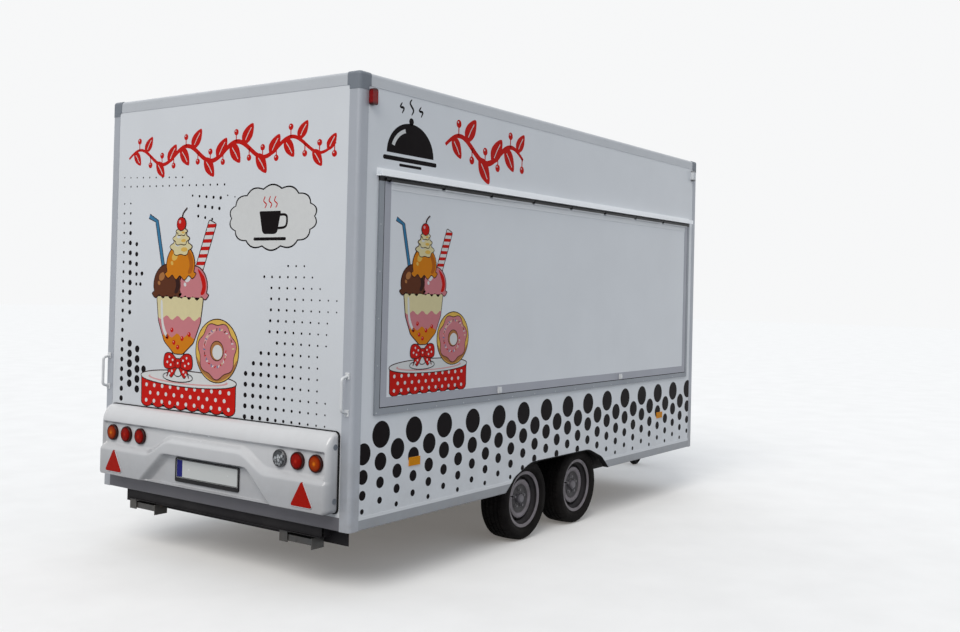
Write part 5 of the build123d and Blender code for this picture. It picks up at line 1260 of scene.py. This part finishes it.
RIM_FINISHES = [
    BY_SLOT["rim_silver"],
    moulded_finish("bolt_steel", (0.17, 0.16, 0.17), (0.35, 0.5)),
    BY_SLOT["rubber"],
    # The barrel and dish tones are painted shade, with some dust
    moulded_finish("rim_barrel_painted_shade", (0.018, 0.016, 0.019), (0.6, 0.75), dirt=0.1, specular=0.2),
    moulded_finish("rim_dish_painted_shade", (0.036, 0.033, 0.038), (0.45, 0.6), dirt=0.15),
]
for label, side in ((f"{place}_{name}", side) for place in AXLE_X for name, side in SIDES.items()):
    low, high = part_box(label + "_tyre")
    rim_low, rim_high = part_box(label + "_rim")
    flange = (rim_high.z - rim_low.z) / 2
    rubber = tyre_form(high.y - low.y, (high.z - low.z) / 2, flange)
    steel = rim_form(flange, (rim_high.y - rim_low.y) / 2, side)
    for build in (rubber, steel):
        build.vertices = [v + (low + high) / 2 for v in build.vertices]
    tyre = rubber.made(label + "_tyre_form", BY_SLOT["tyre"], label + "_wheel", "tyre", 40)
    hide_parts(label + "_tyre")
    rim = steel.made(label + "_rim_form", RIM_FINISHES, label + "_wheel", "rim_silver", 38)
    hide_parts(label + "_rim")


# Seals, screws and other small trim

def seals():
    """Black rubber in the gaps round the hatch leaf and the entry door."""
    build = Build()
    low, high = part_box("hatch_border")
    u0, v0, u1, v1 = low.x, low.z, high.x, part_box("serving_hatch")[1].z + 0.002
    wide, thin, lip = 0.0048, 0.0012, 0.0022
    for a, b, c, d in (
        (u0 - wide, v0 - wide, u0 - thin, v1 + 0.004), (u1 + thin, v0 - wide, u1 + wide, v1 + 0.004),
        (u0 - wide, v0 - wide, u1 + wide, v0 - 0.0016),
    ):
        build.box((a, -LEAF_Y - 0.001, b), (c, -LEAF_Y + 0.012, d))
    u0, u1, v0, v1 = door_low.x, door_high.x, door_low.z, door_high.z
    for a, b, c, d in (
        (u0 - wide, v0 - wide, u0 - thin, v1 + wide), (u1 + thin, v0 - wide, u1 + lip, v1 + wide),
        (u0 - wide, v1 + thin, u1 + lip, v1 + wide), (u0 - wide, v0 - wide, u1 + lip, v0 - thin),
    ):
        build.box((a, door_high.y - 0.014, b), (c, door_high.y - 0.002, d))
    build.trim("opening_seals", "rubber")


seals()


def rear_apron():
    """A folded angle across the frame behind the steadies, notched for the rails."""
    low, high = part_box("rear_beam")
    x, wall, half, shelf, shelf_half = high.x + 0.021, 0.004, 0.925, 0.045, 0.925 - 0.09
    side_y, rail_y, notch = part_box("side_rails")[1].y, 0.520, 0.025
    bottom, top = low.z - 0.0005, high.z - 0.001
    build = Build()
    build.box((x, -half, low.z - 0.040), (x + wall, half, bottom))
    build.box((x + wall, -shelf_half, bottom - wall), (x + shelf, shelf_half, bottom))
    plates = [(x, x + wall, y0, y1, bottom) for y0, y1 in (
        (side_y + 0.001, half), (rail_y + notch, side_y - 0.042), (0.0, rail_y - notch))]
    # A dark plate on each side rail's outer face, standing in for the shade in the gap beside it
    plates.append((high.x - 0.040, x + 0.0005, side_y + 0.001, side_y + 0.005, low.z + 0.0005))
    for x0, x1, y0, y1, z0 in plates:
        for side in SIDES.values():
            u0, u1 = sorted((side * y0, side * y1))
            build.box((x0, u0, z0), (x1, u1, top))
    build.made("rear_apron", STEEL, slot="galvanised")


rear_apron()


def screws(name, places, axis, slot, radius):
    """Pan heads, all facing one way."""
    build = Build()
    head = [(radius, 0.0), (radius, 0.0008), (radius * 0.82, 0.0019), (radius * 0.45, 0.0024)]
    for place in places:
        build.lathe(head, place, axis, 18)
    build.trim(name, slot)


handle_low, handle_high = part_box("grab_handles")
screws("handle_screws", [
    (REAR_X - 0.005, side * (handle_high.y - 0.014) + across, z + up)
    for side in SIDES.values() for z in (handle_low.z + 0.018, handle_high.z - 0.018)
    for across in (-0.0095, 0.0095) for up in (-0.012, 0.012)], (-1, 0, 0), "white_fitting", 0.0032)
hatch_low, hatch_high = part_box("hatch_frame")
x0, x1, z0, rivet_y = hatch_low.x + 0.012, hatch_high.x - 0.012, hatch_low.z + 0.0115, -HALF_W - 0.010
rivets = [(x0 + (x1 - x0) * i / 15, rivet_y, z0) for i in range(16)]
rivets += [(x, rivet_y, z0 + 0.2475 * i) for i in range(1, 5) for x in (x0, x1)]
screws("hatch_frame_rivets", rivets, (0, -1, 0), "anodised", 0.0038)
screws("door_frame_rivets", [
    (x, door_high.y, frame_low.z + 0.03 + (frame_high.z - frame_low.z - 0.06) * i / 7)
    for x in (frame_low.x + 0.012, frame_high.x - 0.012) for i in range(8)], (0, 1, 0), "anodised", 0.0038)


# Stage, light and camera

def stage():
    """A pale floor and world that the camera sees as plain white, with the object's shadow on the floor."""
    mesh = bpy.data.meshes.new("floor")
    size = 60.0
    corners = [(-size, -size, 0), (size, -size, 0), (size, size, 0), (-size, size, 0)]
    mesh.from_pydata(corners, [], [(0, 1, 2, 3)])
    floor = bpy.data.objects.new("floor", mesh)
    bpy.context.scene.collection.objects.link(floor)
    look = Finish("floor_pale", (0.80, 0.80, 0.80), (0.75, 0.9), specular=0.0)
    shown = look.shown()
    look.color = look.mix(shown, (0.20, 0.21, 0.225), look.color)
    mesh.materials.append(look.done())
    lift = look.add("Emission", {"Color": (0.86, 0.80, 0.735), "Strength": look.times(shown, 0.155)})
    both = look.add("AddShader", {0: look.shader.outputs[0], 1: lift})
    look.put(both, look.tree.nodes["Material Output"].inputs["Surface"])
    world = bpy.data.worlds.new("studio")
    bpy.context.scene.world = world
    world.use_nodes = True
    sky = Nodes(world.node_tree)
    light = sky.tree.nodes["Background"]
    sky.put((0.90, 0.965, 1.04), light.inputs["Color"])
    sky.put(0.67, light.inputs["Strength"])
    backdrop = sky.add("Background", {"Color": (0.93, 0.935, 0.94), "Strength": 1.0})
    mixed = sky.add("MixShader", {0: sky.shown(), 1: light.outputs[0], 2: backdrop})
    sky.put(mixed, sky.tree.nodes["World Output"].inputs["Surface"])


def sun(name, direction, strength, spread, tone=(1.0, 1.0, 1.0)):
    data = bpy.data.lights.new(name, "SUN")
    data.energy, data.angle, data.color = strength, math.radians(spread), tone
    lamp = bpy.data.objects.new(name, data)
    lamp.rotation_mode = "QUATERNION"
    lamp.rotation_quaternion = Vector(direction).to_track_quat("-Z", "Y")
    bpy.context.scene.collection.objects.link(lamp)


stage()
# The key light comes from the rear right, the fill from the front left
sun("key", (0.80, 0.22, -0.80), 1.66, 35, (1.0, 0.96, 0.90))
sun("fill", (-0.55, -0.75, -0.40), 0.40, 60)

bpy.context.scene.view_settings.view_transform = "Standard"

# The camera, solved from the photograph's edges
yaw, pitch, roll = math.radians(35.244), math.radians(0.793), math.radians(1.346)
forward = Vector((math.cos(yaw) * math.cos(pitch), math.sin(yaw) * math.cos(pitch), math.sin(pitch)))
right = forward.cross(Vector((0, 0, 1))).normalized()
up = right.cross(forward)
turn = Matrix((
    right * math.cos(roll) + up * math.sin(roll), up * math.cos(roll) - right * math.sin(roll), -forward
)).transposed()
lens = bpy.data.cameras.new("camera")
lens.lens, lens.sensor_width, lens.sensor_fit = 39.62, 36.0, "HORIZONTAL"
lens.shift_y = -0.0414
lens.clip_start, lens.clip_end = 0.05, 300.0
camera = bpy.data.objects.new("camera", lens)
camera.matrix_world = Matrix.Translation((REAR_X - 4.038, -4.657, 1.607)) @ turn.to_4x4()
bpy.context.scene.collection.objects.link(camera)
bpy.context.scene.camera = camera
